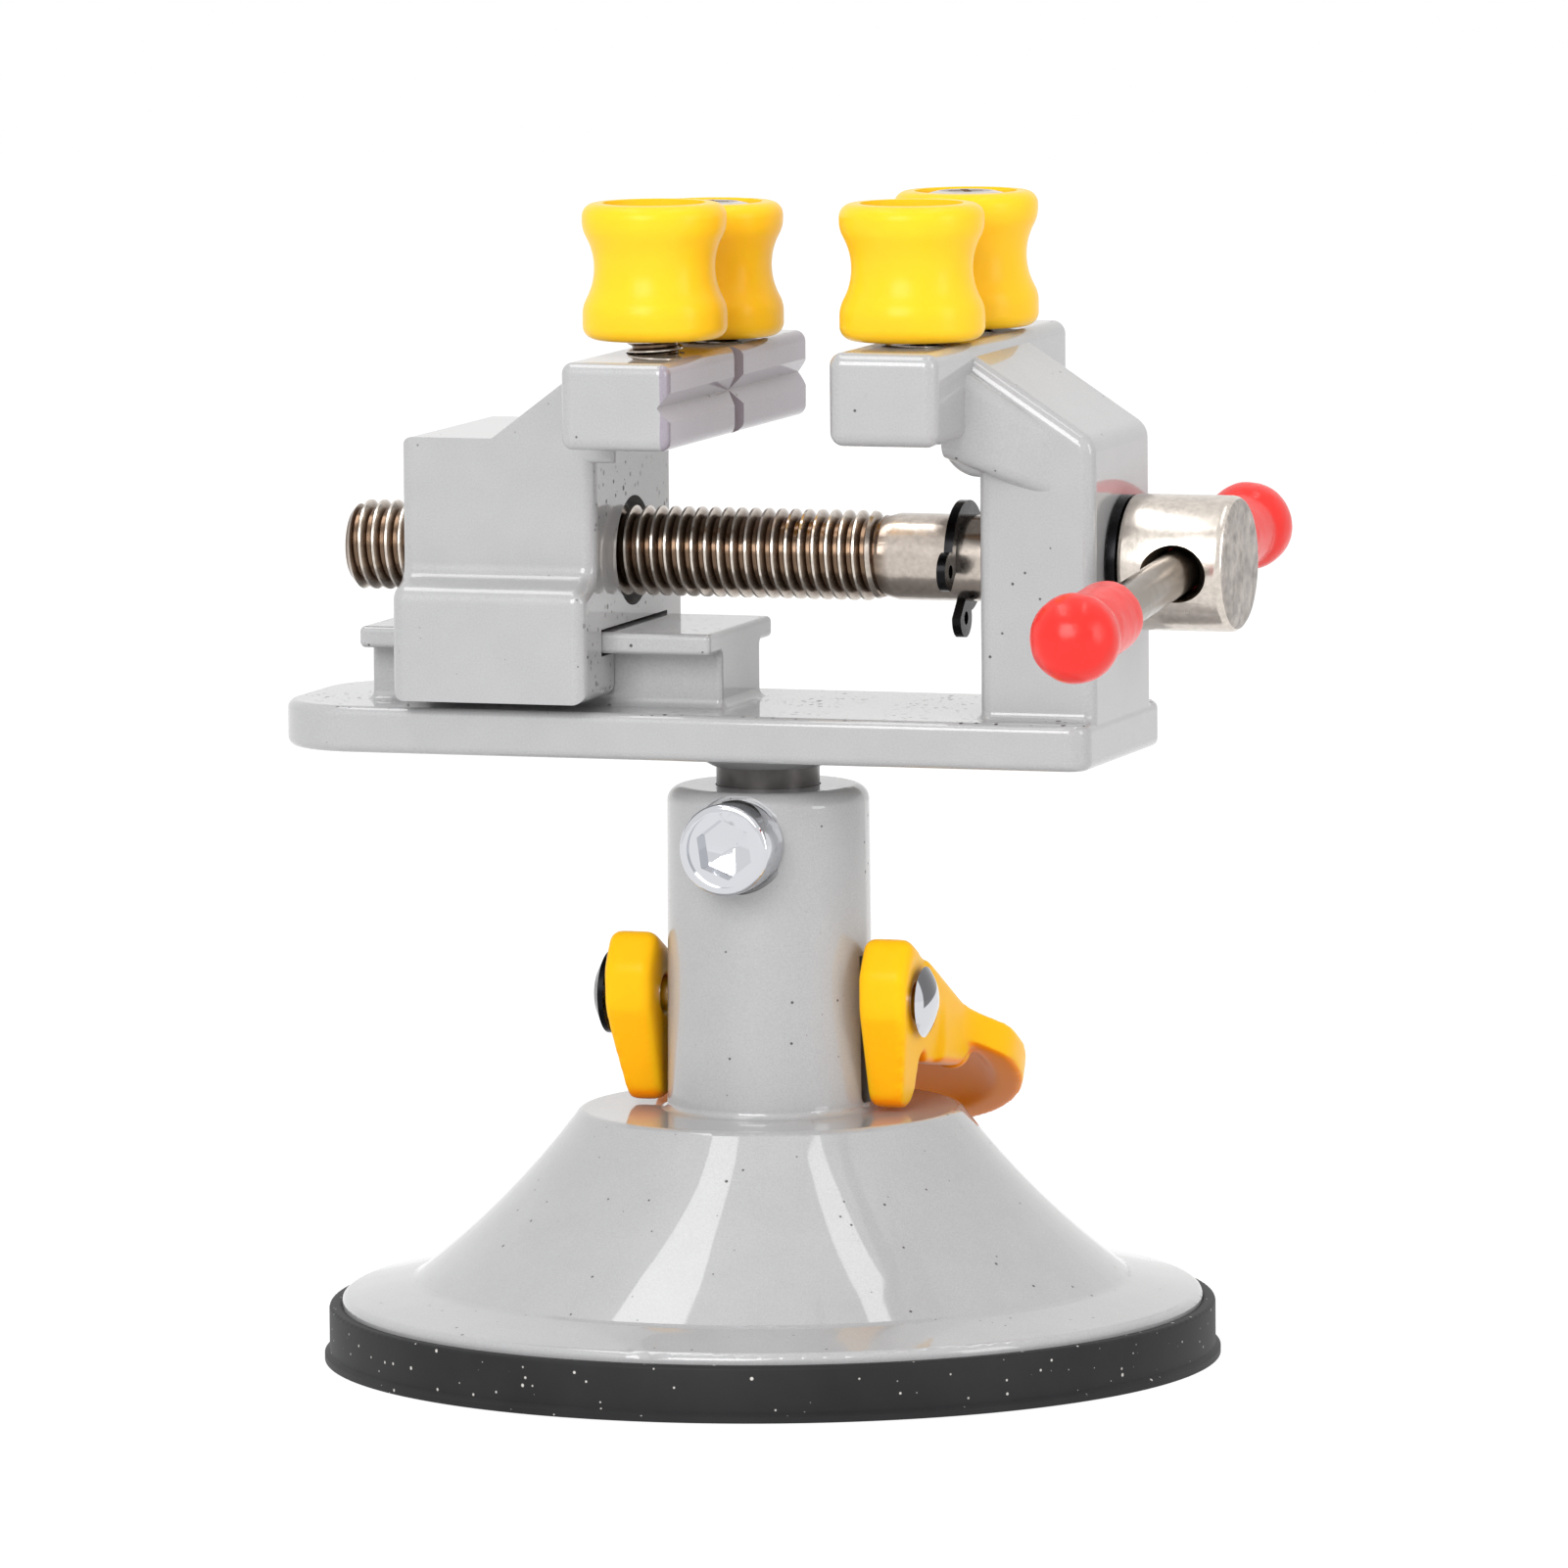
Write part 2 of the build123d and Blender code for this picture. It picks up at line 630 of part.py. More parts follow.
with BuildPart() as movable_jaw:
    # body with its wider skirt, in end view
    with BuildSketch(Plane.YZ.offset(jaw_left)) as body:
        Polygon(
            (-skirt_half_width, skirt_bottom),
            (skirt_half_width, skirt_bottom),
            (skirt_half_width, skirt_top),
            (jaw_half_width, skirt_top + skirt_slope),
            (jaw_half_width, jaw_top),
            (-jaw_half_width, jaw_top),
            (-jaw_half_width, skirt_top + skirt_slope),
            (-skirt_half_width, skirt_top),
            align=None,
        )
        for side in (-1, 1):
            fillet(corner(body, side * skirt_half_width, skirt_top), skirt_round)
            fillet(corner(body, side * jaw_half_width, skirt_top + skirt_slope), skirt_round)
    extrude(amount=jaw_right - jaw_left)
    fillet(movable_jaw.faces().filter_by(Axis.X).edges(), cast_round)
    add(jaw_gusset.part)
    add(jaw_head.part)
    # V-grooves across and down the jaw face
    with BuildSketch(Plane.XZ.offset(-head_half_width - 1)):
        Polygon(
            (jaw_face + 1, vee_height + vee_half_width * (1 + 1 / vee_depth)),
            (jaw_face - vee_depth, vee_height),
            (jaw_face + 1, vee_height - vee_half_width * (1 + 1 / vee_depth)),
            align=None,
        )
    extrude(amount=2 * head_half_width + 2, mode=Mode.SUBTRACT)
    with BuildSketch(Plane.XY.offset(jaw_head_bottom - 1)):
        Polygon(
            (jaw_face + 1, vee_half_width * (1 + 1 / vee_depth)),
            (jaw_face - vee_depth, 0),
            (jaw_face + 1, -vee_half_width * (1 + 1 / vee_depth)),
            align=None,
        )
    extrude(amount=jaw_head_height + 2, mode=Mode.SUBTRACT)
    # T-slot that runs on the rail
    with BuildSketch(Plane.YZ.offset(jaw_left - 1)):
        with Locations((0, skirt_bottom - 1)):
            Rectangle(2 * (rail_web_half + slot_gap), rail_top - skirt_bottom + 1,
                      align=(Align.CENTER, Align.MIN))
        with Locations((0, rail_top + slot_gap)):
            Rectangle(2 * (rail_half_width + slot_gap), rail_thickness + 2 * slot_gap,
                      align=(Align.CENTER, Align.MAX))
    extrude(amount=jaw_right - jaw_left + 2, mode=Mode.SUBTRACT)
    # threaded bore with its countersunk mouth
    with BuildSketch(Plane.YZ.offset(jaw_left - 1)):
        with Locations((0, screw_height)):
            Circle(thread_radius + 1.5 * run_gap)
    extrude(amount=jaw_right - jaw_left + 2, mode=Mode.SUBTRACT)
    with BuildSketch(Plane.YZ.offset(jaw_right)):
        with Locations((0, screw_height)):
            Circle(bore_counter_radius)
    extrude(amount=-bore_counter_depth, mode=Mode.SUBTRACT)
    with BuildSketch(Plane.XY.offset(jaw_head_bottom - 1)):
        with Locations((movable_peg_x, -peg_spacing / 2), (movable_peg_x, peg_spacing / 2)):
            Circle(peg_screw_radius + run_gap)
    extrude(amount=jaw_head_height + 2, mode=Mode.SUBTRACT)
write(movable_jaw.part, "movable_jaw")


# ---- lead screw, washer and circlip -----------------------------------------------

screw_plane = Plane(origin=(0, 0, screw_height), x_dir=(1, 0, 0), z_dir=(0, -1, 0))
bar_direction = (0, cos(radians(bar_tilt)), sin(radians(bar_tilt)))
bar_across = screw_head_left + screw_head_length / 2 + bar_past_middle
bar_plane = Plane(origin=(bar_across, 0, screw_height), x_dir=(1, 0, 0), z_dir=bar_direction)
clip_groove_right = clip_left + clip_thickness + 0.05
screw_head_right = screw_head_left + screw_head_length

with BuildPart() as lead_screw:
    with BuildSketch(screw_plane) as turned:
        Polygon(
            (screw_left, 0),
            (screw_left, thread_radius),
            (thread_right, thread_radius),
            (thread_right, shank_radius),
            (clip_left - 0.05, shank_radius),
            (clip_left - 0.05, shank_radius - clip_groove_depth),
            (clip_groove_right, shank_radius - clip_groove_depth),
            (clip_groove_right, shank_radius),
            (screw_head_left, shank_radius),
            (screw_head_left, screw_head_radius),
            (screw_head_right, screw_head_radius),
            (screw_head_right, 0),
            align=None,
        )
        chamfer(corner(turned, screw_left, thread_radius), 0.8)
        fillet(corner(turned, screw_head_left, screw_head_radius), 0.6)
        fillet(corner(turned, screw_head_right, screw_head_radius), 0.9)
    revolve(axis=screw_axis)
    with Locations(bar_plane):
        Cylinder(bar_hole_radius, 3 * screw_head_radius, mode=Mode.SUBTRACT)
write(lead_screw.part, "lead_screw")

with BuildPart() as thrust_washer:
    with BuildSketch(Plane.YZ.offset(screw_head_left - washer_thickness)):
        with Locations((0, screw_height)):
            Circle(washer_radius)
            Circle(shank_radius + run_gap, mode=Mode.SUBTRACT)
    extrude(amount=washer_thickness)
write(thrust_washer.part, "thrust_washer")

with BuildPart() as screw_circlip:
    clip_inside = shank_radius - clip_groove_depth + 0.05
    with BuildSketch(Plane(origin=(clip_left, 0, screw_height), x_dir=(0, 1, 0), z_dir=(1, 0, 0))) as clip:
        with PolarLocations(-0.2, 1, start_angle=clip_turn):
            Circle(clip_inside + clip_width)
        with PolarLocations(clip_lug_reach, 2, start_angle=clip_turn - clip_lug_angle,
                            angular_range=2 * clip_lug_angle, endpoint=True):
            Circle(clip_lug_radius)
        Circle(clip_inside, mode=Mode.SUBTRACT)
        with PolarLocations(clip_lug_reach, 1, start_angle=clip_turn):
            Rectangle(2 * clip_inside, 2 * (clip_lug_reach * sin(radians(clip_lug_angle))
                                            - 0.75 * clip_lug_radius), mode=Mode.SUBTRACT)
        with PolarLocations(clip_lug_reach, 2, start_angle=clip_turn - clip_lug_angle,
                            angular_range=2 * clip_lug_angle, endpoint=True):
            Circle(0.35 * clip_lug_radius, mode=Mode.SUBTRACT)
    extrude(amount=clip_thickness)
write(screw_circlip.part, "screw_circlip")


# ---- tommy bar and caps -----------------------------------------------------------

bar_length = cap_spacing + 2 * (cap_radius - cap_cover)

with BuildPart() as tommy_bar:
    with Locations(bar_plane.offset(bar_rest_offset)):
        Cylinder(bar_radius, bar_length)
    chamfer(tommy_bar.edges().filter_by(GeomType.CIRCLE), 0.3)
write(tommy_bar.part, "tommy_bar")

for name, side in (("bar_cap_near", -1), ("bar_cap_far", 1)):
    with BuildPart() as bar_cap:
        cap_plane = bar_plane.offset(bar_rest_offset + side * cap_spacing / 2)
        with Locations(cap_plane):
            Sphere(cap_radius)
            Cylinder(cap_neck_radius, cap_neck_length,
                     align=(Align.CENTER, Align.CENTER, Align.MAX if side > 0 else Align.MIN))
        with Locations(bar_plane.offset(bar_rest_offset)):
            Cylinder(bar_radius + press_gap, bar_length, mode=Mode.SUBTRACT)
        fillet(bar_cap.edges().filter_by(GeomType.CIRCLE).sort_by(Axis.Y)[0 if side > 0 else -1], 0.4)
    write(bar_cap.part, name)


# ---- pegs -------------------------------------------------------------------------

def peg(name, x, y, seat, head_sink):
    """A waisted sleeve and its screw, standing on a jaw top at height seat."""
    spot = Plane(origin=(x, y, seat))
    outline = Plane(origin=(x, y, seat), x_dir=(1, 0, 0), z_dir=(0, -1, 0))
    centre = Axis((x, y, seat), (0, 0, 1))
    head_seat = peg_height - peg_head_thickness - head_sink
    head_ball = (peg_head_radius ** 2 + peg_head_dome ** 2) / (2 * peg_head_dome)
    with BuildPart() as sleeve:
        with BuildSketch(outline) as half:
            with BuildLine():
                Polyline((0, peg_height), (0, 0), (peg_rim_radius, 0), (peg_rim_radius, peg_rim_height))
                ThreePointArc(
                    (peg_rim_radius, peg_rim_height),
                    (peg_waist_radius, peg_height / 2 + 0.2),
                    (peg_rim_radius, peg_height - peg_rim_height + 0.6),
                )
                Polyline((peg_rim_radius, peg_height - peg_rim_height + 0.6),
                         (peg_rim_radius, peg_height), (0, peg_height))
            make_face()
            rim_low = corner(half, peg_rim_radius, peg_rim_height)
            rim_high = corner(half, peg_rim_radius, peg_height - peg_rim_height + 0.6)
            fillet([rim_low, rim_high], peg_rim_round)
            fillet(corner(half, peg_rim_radius, 0), peg_round)
            fillet(corner(half, peg_rim_radius, peg_height), peg_round)
        revolve(axis=centre)
        with BuildSketch(spot):
            Circle(peg_screw_radius + 1.5 * run_gap)
        extrude(amount=peg_height, mode=Mode.SUBTRACT)
        with BuildSketch(spot.offset(head_seat)):
            Circle(peg_head_radius + 1.5 * run_gap)
        extrude(amount=peg_height, mode=Mode.SUBTRACT)
    write(sleeve.part, f"peg_sleeve_{name}")
    with BuildPart() as screw:
        with BuildSketch(outline) as turned:
            with BuildLine():
                Polyline(
                    (0, head_seat + peg_head_thickness),
                    (0, head_seat - peg_screw_length),
                    (peg_screw_radius, head_seat - peg_screw_length),
                    (peg_screw_radius, head_seat),
                    (peg_head_radius, head_seat),
                    (peg_head_radius, head_seat + peg_head_thickness - peg_head_dome),
                )
                RadiusArc((peg_head_radius, head_seat + peg_head_thickness - peg_head_dome),
                          (0, head_seat + peg_head_thickness), -head_ball)
            make_face()
            chamfer(corner(turned, peg_screw_radius, head_seat - peg_screw_length), peg_head_dome)
        revolve(axis=centre)
        # cross recess for the driver
        with BuildSketch(spot.offset(head_seat + peg_head_thickness)):
            Rectangle(peg_head_radius, 0.2 * peg_head_radius)
            Rectangle(0.2 * peg_head_radius, peg_head_radius)
        extrude(amount=-0.6 * peg_head_thickness, mode=Mode.SUBTRACT)
    write(screw.part, f"peg_screw_{name}")


for jaw, x, top in (("movable", movable_peg_x, jaw_head_top), ("fixed", fixed_peg_x, fixed_head_top)):
    for place, side in (("front", -1), ("rear", 1)):
        lift = peg_backed_out if (jaw, place) == ("movable", "front") else 0
        peg(f"{jaw}_{place}", x, side * peg_spacing / 2, top + loose_gap + lift, peg_head_sink[place])
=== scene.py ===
import math
import bpy
import bmesh
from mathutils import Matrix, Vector


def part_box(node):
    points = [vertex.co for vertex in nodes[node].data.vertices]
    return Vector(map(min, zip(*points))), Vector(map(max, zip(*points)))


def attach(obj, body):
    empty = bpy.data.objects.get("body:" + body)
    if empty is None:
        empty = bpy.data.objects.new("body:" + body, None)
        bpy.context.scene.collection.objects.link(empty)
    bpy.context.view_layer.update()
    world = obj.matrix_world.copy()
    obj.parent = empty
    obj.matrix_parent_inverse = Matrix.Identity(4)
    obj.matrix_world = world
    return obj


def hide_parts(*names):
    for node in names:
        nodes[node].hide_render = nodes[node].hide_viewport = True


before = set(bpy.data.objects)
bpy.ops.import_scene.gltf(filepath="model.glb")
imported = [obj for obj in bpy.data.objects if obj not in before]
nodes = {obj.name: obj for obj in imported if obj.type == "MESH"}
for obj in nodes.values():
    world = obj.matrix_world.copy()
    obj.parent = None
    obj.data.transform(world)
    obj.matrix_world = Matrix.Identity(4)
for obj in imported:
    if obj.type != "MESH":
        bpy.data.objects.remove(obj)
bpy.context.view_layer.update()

mm = 0.001
print("frame loaded:", len(nodes), "nodes")


# steps for building shader trees

def feed(tree, socket, value):
    # gives a socket a number, a colour or the output of another node
    if isinstance(value, bpy.types.NodeSocket):
        tree.links.new(value, socket)
    elif isinstance(value, tuple) and len(socket.default_value) > len(value):
        socket.default_value = (*value, 1)
    else:
        socket.default_value = value


def mathNode(tree, operation, a, b=None, clamp=False):
    node = tree.nodes.new("ShaderNodeMath")
    node.operation = operation
    node.use_clamp = clamp
    feed(tree, node.inputs[0], a)
    if b is not None:
        feed(tree, node.inputs[1], b)
    return node.outputs[0]


def noiseHeight(tree, place, scale, detail=2.0):
    noise = tree.nodes.new("ShaderNodeTexNoise")
    feed(tree, noise.inputs["Vector"], place)
    feed(tree, noise.inputs["Scale"], scale)
    feed(tree, noise.inputs["Detail"], detail)
    return noise.outputs[0]


def blendColour(tree, factor, low, high):
    mix = tree.nodes.new("ShaderNodeMix")
    mix.data_type = "RGBA"
    # in its colour form this node has the factor at 0 and the two colours at 6 and 7
    for slot, value in ((0, factor), (6, low), (7, high)):
        feed(tree, mix.inputs[slot], value)
    return mix.outputs[2]


def timesColour(tree, colour, factor):
    scale = tree.nodes.new("ShaderNodeVectorMath")
    scale.operation = "SCALE"
    feed(tree, scale.inputs[0], colour)
    feed(tree, scale.inputs["Scale"], factor)
    return scale.outputs[0]


def bumpBy(tree, shader, height, distance):
    bump = tree.nodes.new("ShaderNodeBump")
    bump.inputs["Strength"].default_value = 1.0
    bump.inputs["Distance"].default_value = distance
    feed(tree, bump.inputs["Height"], height)
    feed(tree, shader.inputs["Normal"], bump.outputs[0])


def objectPlace(tree):
    # the place, its x, y and z, and the x, y and z of the way the surface faces
    place = tree.nodes.new("ShaderNodeTexCoord")
    at = tree.nodes.new("ShaderNodeSeparateXYZ")
    feed(tree, at.inputs[0], place.outputs["Object"])
    facing = tree.nodes.new("ShaderNodeSeparateXYZ")
    feed(tree, facing.inputs[0], place.outputs["Normal"])
    return place.outputs["Object"], at.outputs, facing.outputs


# camera, floor and light

camera = {
    "place": (0.37028, -1.12621, 0.18586),
    "turn": (83.5124, 0.4716, 18.0782),     # degrees
    "lens": 308.13,
    "sensor": 36.0,
    "clip": (0.01, 20.0),
}


def addCamera():
    lens = bpy.data.cameras.new("camera")
    lens.sensor_width = camera["sensor"]
    lens.lens = camera["lens"]
    lens.clip_start, lens.clip_end = camera["clip"]
    view = bpy.data.objects.new("camera", lens)
    view.location = camera["place"]
    view.rotation_euler = [math.radians(a) for a in camera["turn"]]
    bpy.context.scene.collection.objects.link(view)
    bpy.context.scene.camera = view


studio = {
    "world": 0.63,
    "floor": (0.92, 0.92, 0.92), "floorSize": 3.0, "floorDrop": 0.2 * mm,
    "floorRough": 0.9, "floorGloss": 0.1,
    "floorGlow": 1.12,       # white that the lens sees in the floor
    "floorShadow": 0.13,     # share of the floor's own shading in what the lens sees
    # name: place, size across and along, watts, point it looks at (None: straight down, in line
    # with the camera)
    "lamps": {
        "frontBox": ((-0.10, -1.40, 0.75), (0.8, 0.8), 15.0, (0, 0, 0.05)),
        "leftStrip": ((-0.32, -0.10, 1.0), (0.20, 0.75), 2.0, None),
        "rightStrip": ((0.295, 0.10, 1.0), (0.11, 0.7), 1.0, None),
        "sideBox": ((1.10, -0.25, 0.35), (0.35, 0.8), 3.4, (0, 0, 0.05)),
    },
}


def seenByLens(tree):
    path = tree.nodes.new("ShaderNodeLightPath").outputs
    near = mathNode(tree, "MAXIMUM", path["Is Camera Ray"], path["Is Glossy Ray"])
    return mathNode(tree, "MAXIMUM", near, path["Is Transmission Ray"])


def mixShaders(tree, share, first, second, output):
    mix = tree.nodes.new("ShaderNodeMixShader")
    for socket, value in zip(mix.inputs, (share, first.outputs[0], second.outputs[0])):
        feed(tree, socket, value)
    feed(tree, tree.nodes[output].inputs[0], mix.outputs[0])


def addWorld():
    scene = bpy.context.scene
    scene.view_settings.view_transform = "Standard"
    scene.world = bpy.data.worlds.new("studio")
    scene.world.use_nodes = True
    tree = scene.world.node_tree
    light = tree.nodes["Background"]
    white = tree.nodes.new("ShaderNodeBackground")
    for shader in (light, white):
        shader.inputs["Color"].default_value = (1, 1, 1, 1)
    light.inputs["Strength"].default_value = studio["world"]
    mixShaders(tree, seenByLens(tree), light, white, "World Output")


def addFloor():
    bpy.ops.object.select_all(action="DESELECT")
    bpy.ops.mesh.primitive_plane_add(size=studio["floorSize"], location=(0, 0, -studio["floorDrop"]))
    floor = bpy.context.object
    floor.name = "floor"
    paper = bpy.data.materials.new("floorPaper")
    paper.use_nodes = True
    tree = paper.node_tree
    shader = tree.nodes["Principled BSDF"]
    feed(tree, shader.inputs["Base Color"], studio["floor"])
    shader.inputs["Roughness"].default_value = studio["floorRough"]
    shader.inputs["Specular IOR Level"].default_value = studio["floorGloss"]
    glow = tree.nodes.new("ShaderNodeEmission")
    glow.inputs["Color"].default_value = (1, 1, 1, 1)
    glow.inputs["Strength"].default_value = studio["floorGlow"]
    share = mathNode(tree, "MULTIPLY", seenByLens(tree), 1 - studio["floorShadow"])
    mixShaders(tree, share, shader, glow, "Material Output")
    floor.data.materials.append(paper)


def addLamps():
    for name, (place, size, watts, aim) in studio["lamps"].items():
        lamp = bpy.data.lights.new(name, "AREA")
        lamp.shape = "RECTANGLE"
        lamp.size, lamp.size_y = size
        lamp.energy = watts
        box = bpy.data.objects.new(name, lamp)
        box.location = place
        box.rotation_euler = (0, 0, math.radians(camera["turn"][2]))
        if aim:
            box.rotation_euler = (Vector(aim) - Vector(place)).to_track_quat("-Z", "Y").to_euler()
        bpy.context.scene.collection.objects.link(box)


addCamera()
addWorld()
addFloor()
addLamps()
print("camera and studio ready")


# effects that several finishes share

def newGroup(name, inputs, output):
    group = bpy.data.node_groups.new(name, "ShaderNodeTree")
    for socket, kind, value in inputs:
        made = group.interface.new_socket(socket, in_out="INPUT", socket_type="NodeSocket" + kind)
        if value is not None:
            made.default_value = value
    group.interface.new_socket(output, in_out="OUTPUT", socket_type="NodeSocketFloat")
    return group, group.nodes.new("NodeGroupInput").outputs, group.nodes.new("NodeGroupOutput").inputs


def makeSpecks():
    # round spots, one at most in each cell, on a chosen share of the cells
    crispness = 14.0
    group, given, put = newGroup(
        "specks",
        [("Vector", "Vector", None), ("Scale", "Float", 1000.0), ("Size", "Float", 0.25),
         ("Share", "Float", 0.1)],
        "Mask")
    cells = group.nodes.new("ShaderNodeTexVoronoi")
    feed(group, cells.inputs["Vector"], given["Vector"])
    feed(group, cells.inputs["Scale"], given["Scale"])
    split = group.nodes.new("ShaderNodeSeparateColor")
    feed(group, split.inputs[0], cells.outputs["Color"])
    chosen = mathNode(group, "LESS_THAN", split.outputs[0], given["Share"])
    reach = mathNode(group, "MULTIPLY", given["Size"], split.outputs[1])
    inside = mathNode(group, "SUBTRACT", reach, cells.outputs["Distance"])
    sharp = mathNode(group, "MULTIPLY", inside, crispness, clamp=True)
    feed(group, put["Mask"], mathNode(group, "MULTIPLY", chosen, sharp))
    return group


def makeGrain():
    # a factor around 1 that lightens and darkens a colour
    group, given, put = newGroup(
        "grain",
        [("Vector", "Vector", None), ("Scale", "Float", 4000.0), ("Depth", "Float", 0.1)],
        "Factor")
    noise = noiseHeight(group, given["Vector"], given["Scale"])
    centred = mathNode(group, "SUBTRACT", noise, 0.5)
    swing = mathNode(group, "MULTIPLY", centred, given["Depth"])
    feed(group, put["Factor"], mathNode(group, "ADD", swing, 1.0))
    return group


def makeBand():
    # 1 where Value lies between Low and High, fading over Fade at both ends
    group, given, put = newGroup(
        "band",
        [("Value", "Float", 0.0), ("Low", "Float", 0.0), ("High", "Float", 1.0), ("Fade", "Float", 0.001)],
        "Mask")
    up = mathNode(group, "SUBTRACT", given["Value"], given["Low"])
    up = mathNode(group, "DIVIDE", up, given["Fade"], clamp=True)
    down = mathNode(group, "SUBTRACT", given["High"], given["Value"])
    down = mathNode(group, "DIVIDE", down, given["Fade"], clamp=True)
    feed(group, put["Mask"], mathNode(group, "MULTIPLY", up, down))
    return group


effects = {"specks": makeSpecks(), "grain": makeGrain(), "band": makeBand()}


def useEffect(tree, name, **values):
    node = tree.nodes.new("ShaderNodeGroup")
    node.node_tree = effects[name]
    for socket, value in values.items():
        feed(tree, node.inputs[socket], value)
    return node.outputs[0]


def newFinish(name, colour, rough, metal=0.0, coat=0.0, coatRough=0.05, gloss=0.5):
    material = bpy.data.materials.new(name)
    material.use_nodes = True
    shader = material.node_tree.nodes["Principled BSDF"]
    shader.inputs["Base Color"].default_value = (*colour, 1)
    shader.inputs["Roughness"].default_value = rough
    shader.inputs["Metallic"].default_value = metal
    shader.inputs["Coat Weight"].default_value = coat
    shader.inputs["Coat Roughness"].default_value = coatRough
    shader.inputs["Specular IOR Level"].default_value = gloss
    return material, material.node_tree, shader


# grey metallic paint of the castings

paint = {
    "grey": (0.385, 0.385, 0.390), "grime": (0.075, 0.070, 0.065), "jawTint": (0.295, 0.265, 0.31),
    "surface": {"rough": 0.42, "metal": 0.05, "coat": 0.9, "coatRough": 0.045, "gloss": 0.2},
    "grain": {"Scale": 7000.0, "Depth": 0.34}, "cloud": {"Scale": 260.0, "Depth": 0.10},
    "peelScale": 500.0, "peelDepth": 0.012 * mm,
    "few": {"Scale": 900.0, "Size": 0.17, "Share": 0.34},
    "many": {"Scale": 1500.0, "Size": 0.42},
    "patches": {"Scale": 150.0, "Depth": 5.0}, "patchCut": 0.6,
    # dust lies on a strip of one axis, on faces that look up one axis: axis, from and to in mm,
    # axis of the faces, share of specks
    "plateDust": (2, 57.8, 59.4, 2, 0.9), "railDust": (2, 64.5, 65.8, 2, 0.8),
    "jawDust": (0, -13.2, -11.8, 0, 0.9), "dustFade": 0.4 * mm, "dustFacing": 0.8,
    # the jaw's face: axis, from and to in mm, least facing along that axis
    "jawFace": (0, -3.6, -2.0, 0.25), "tintFade": 0.3 * mm,
}


def makePaint(name, dusty=(), tinted=None):
    material, tree, shader = newFinish(name, paint["grey"], **paint["surface"])
    place, at, facing = objectPlace(tree)
    grain = useEffect(tree, "grain", Vector=place, **paint["grain"])
    cloud = useEffect(tree, "grain", Vector=place, **paint["cloud"])
    base = paint["grey"]
    if tinted:
        axis, low, high, least = tinted
        tint = useEffect(tree, "band", Value=at[axis], Low=low * mm, High=high * mm, Fade=paint["tintFade"])
        tint = mathNode(tree, "MULTIPLY", tint, mathNode(tree, "GREATER_THAN", facing[axis], least))
        base = blendColour(tree, tint, paint["grey"], paint["jawTint"])
    colour = timesColour(tree, base, mathNode(tree, "MULTIPLY", grain, cloud))
    dirt = useEffect(tree, "specks", Vector=place, **paint["few"])
    for axis, low, high, side, share in dusty:
        where = useEffect(tree, "band", Value=at[axis], Low=low * mm, High=high * mm, Fade=paint["dustFade"])
        level = mathNode(tree, "GREATER_THAN", facing[side], paint["dustFacing"])
        where = mathNode(tree, "MULTIPLY", where, level)
        many = useEffect(tree, "specks", Vector=place, Share=share, **paint["many"])
        patchy = useEffect(tree, "grain", Vector=place, **paint["patches"])
        patchy = mathNode(tree, "SUBTRACT", patchy, paint["patchCut"], clamp=True)
        many = mathNode(tree, "MULTIPLY", mathNode(tree, "MULTIPLY", many, where), patchy)
        dirt = mathNode(tree, "MAXIMUM", dirt, many)
    feed(tree, shader.inputs["Base Color"], blendColour(tree, dirt, colour, paint["grime"]))
    feed(tree, shader.inputs["Coat Weight"], mathNode(tree, "SUBTRACT", 1.0, dirt))
    bumpBy(tree, shader, noiseHeight(tree, place, paint["peelScale"]), paint["peelDepth"])
    return material


basePaint = makePaint("basePaint")
bodyPaint = makePaint("bodyPaint", dusty=(paint["plateDust"], paint["railDust"]))
jawPaint = makePaint("jawPaint", dusty=(paint["jawDust"],), tinted=paint["jawFace"])


# moulded plastics and rubber

plastics = {
    "yellowPlastic": {"colour": (1.0, 0.57, 0.020), "rough": 0.28},
    # the lever's deeper orange for faces that look down is painted shade
    "orangePlastic": {"colour": (1.0, 0.50, 0.007), "rough": 0.32, "gloss": 0.08,
                      "undersideShade": (1.0, 0.27, 0.001)},
    "redVinyl": {"colour": (0.76, 0.027, 0.021), "rough": 0.25, "gloss": 0.28, "glow": 0.1,
                 "cloud": 0.10, "waves": (700.0, 0.03 * mm)},
}
moulding = {
    "cloudScale": 300.0, "glowReach": 2.0 * mm, "glowRadius": (1.0, 0.5, 0.1),
    "undersideShadeFrom": -0.25, "undersideShadeGain": 3.0,
}


def makePlastic(name, colour, rough, gloss=0.15, glow=0.30, cloud=0.05, waves=(900.0, 0.006 * mm),
                undersideShade=None):
    # the deeper colour given for what faces down is painted shade, waves the scale and depth of the uneven
    # surface
    material, tree, shader = newFinish(name, colour, rough, gloss=gloss)
    place, _, facing = objectPlace(tree)
    # painted shade: faces that look down blend towards the deeper colour
    if undersideShade:
        down = mathNode(tree, "SUBTRACT", moulding["undersideShadeFrom"], facing[2])
        down = mathNode(tree, "MULTIPLY", down, moulding["undersideShadeGain"], clamp=True)
        colour = blendColour(tree, down, colour, undersideShade)
    clouded = useEffect(tree, "grain", Vector=place, Scale=moulding["cloudScale"], Depth=cloud)
    feed(tree, shader.inputs["Base Color"], timesColour(tree, colour, clouded))
    scale, depth = waves
    bumpBy(tree, shader, noiseHeight(tree, place, scale), depth)
    shader.inputs["Subsurface Weight"].default_value = glow
    shader.inputs["Subsurface Radius"].default_value = moulding["glowRadius"]
    shader.inputs["Subsurface Scale"].default_value = moulding["glowReach"]
    return material


yellowPlastic, orangePlastic, redVinyl = (
    makePlastic(name, **values) for name, values in plastics.items())

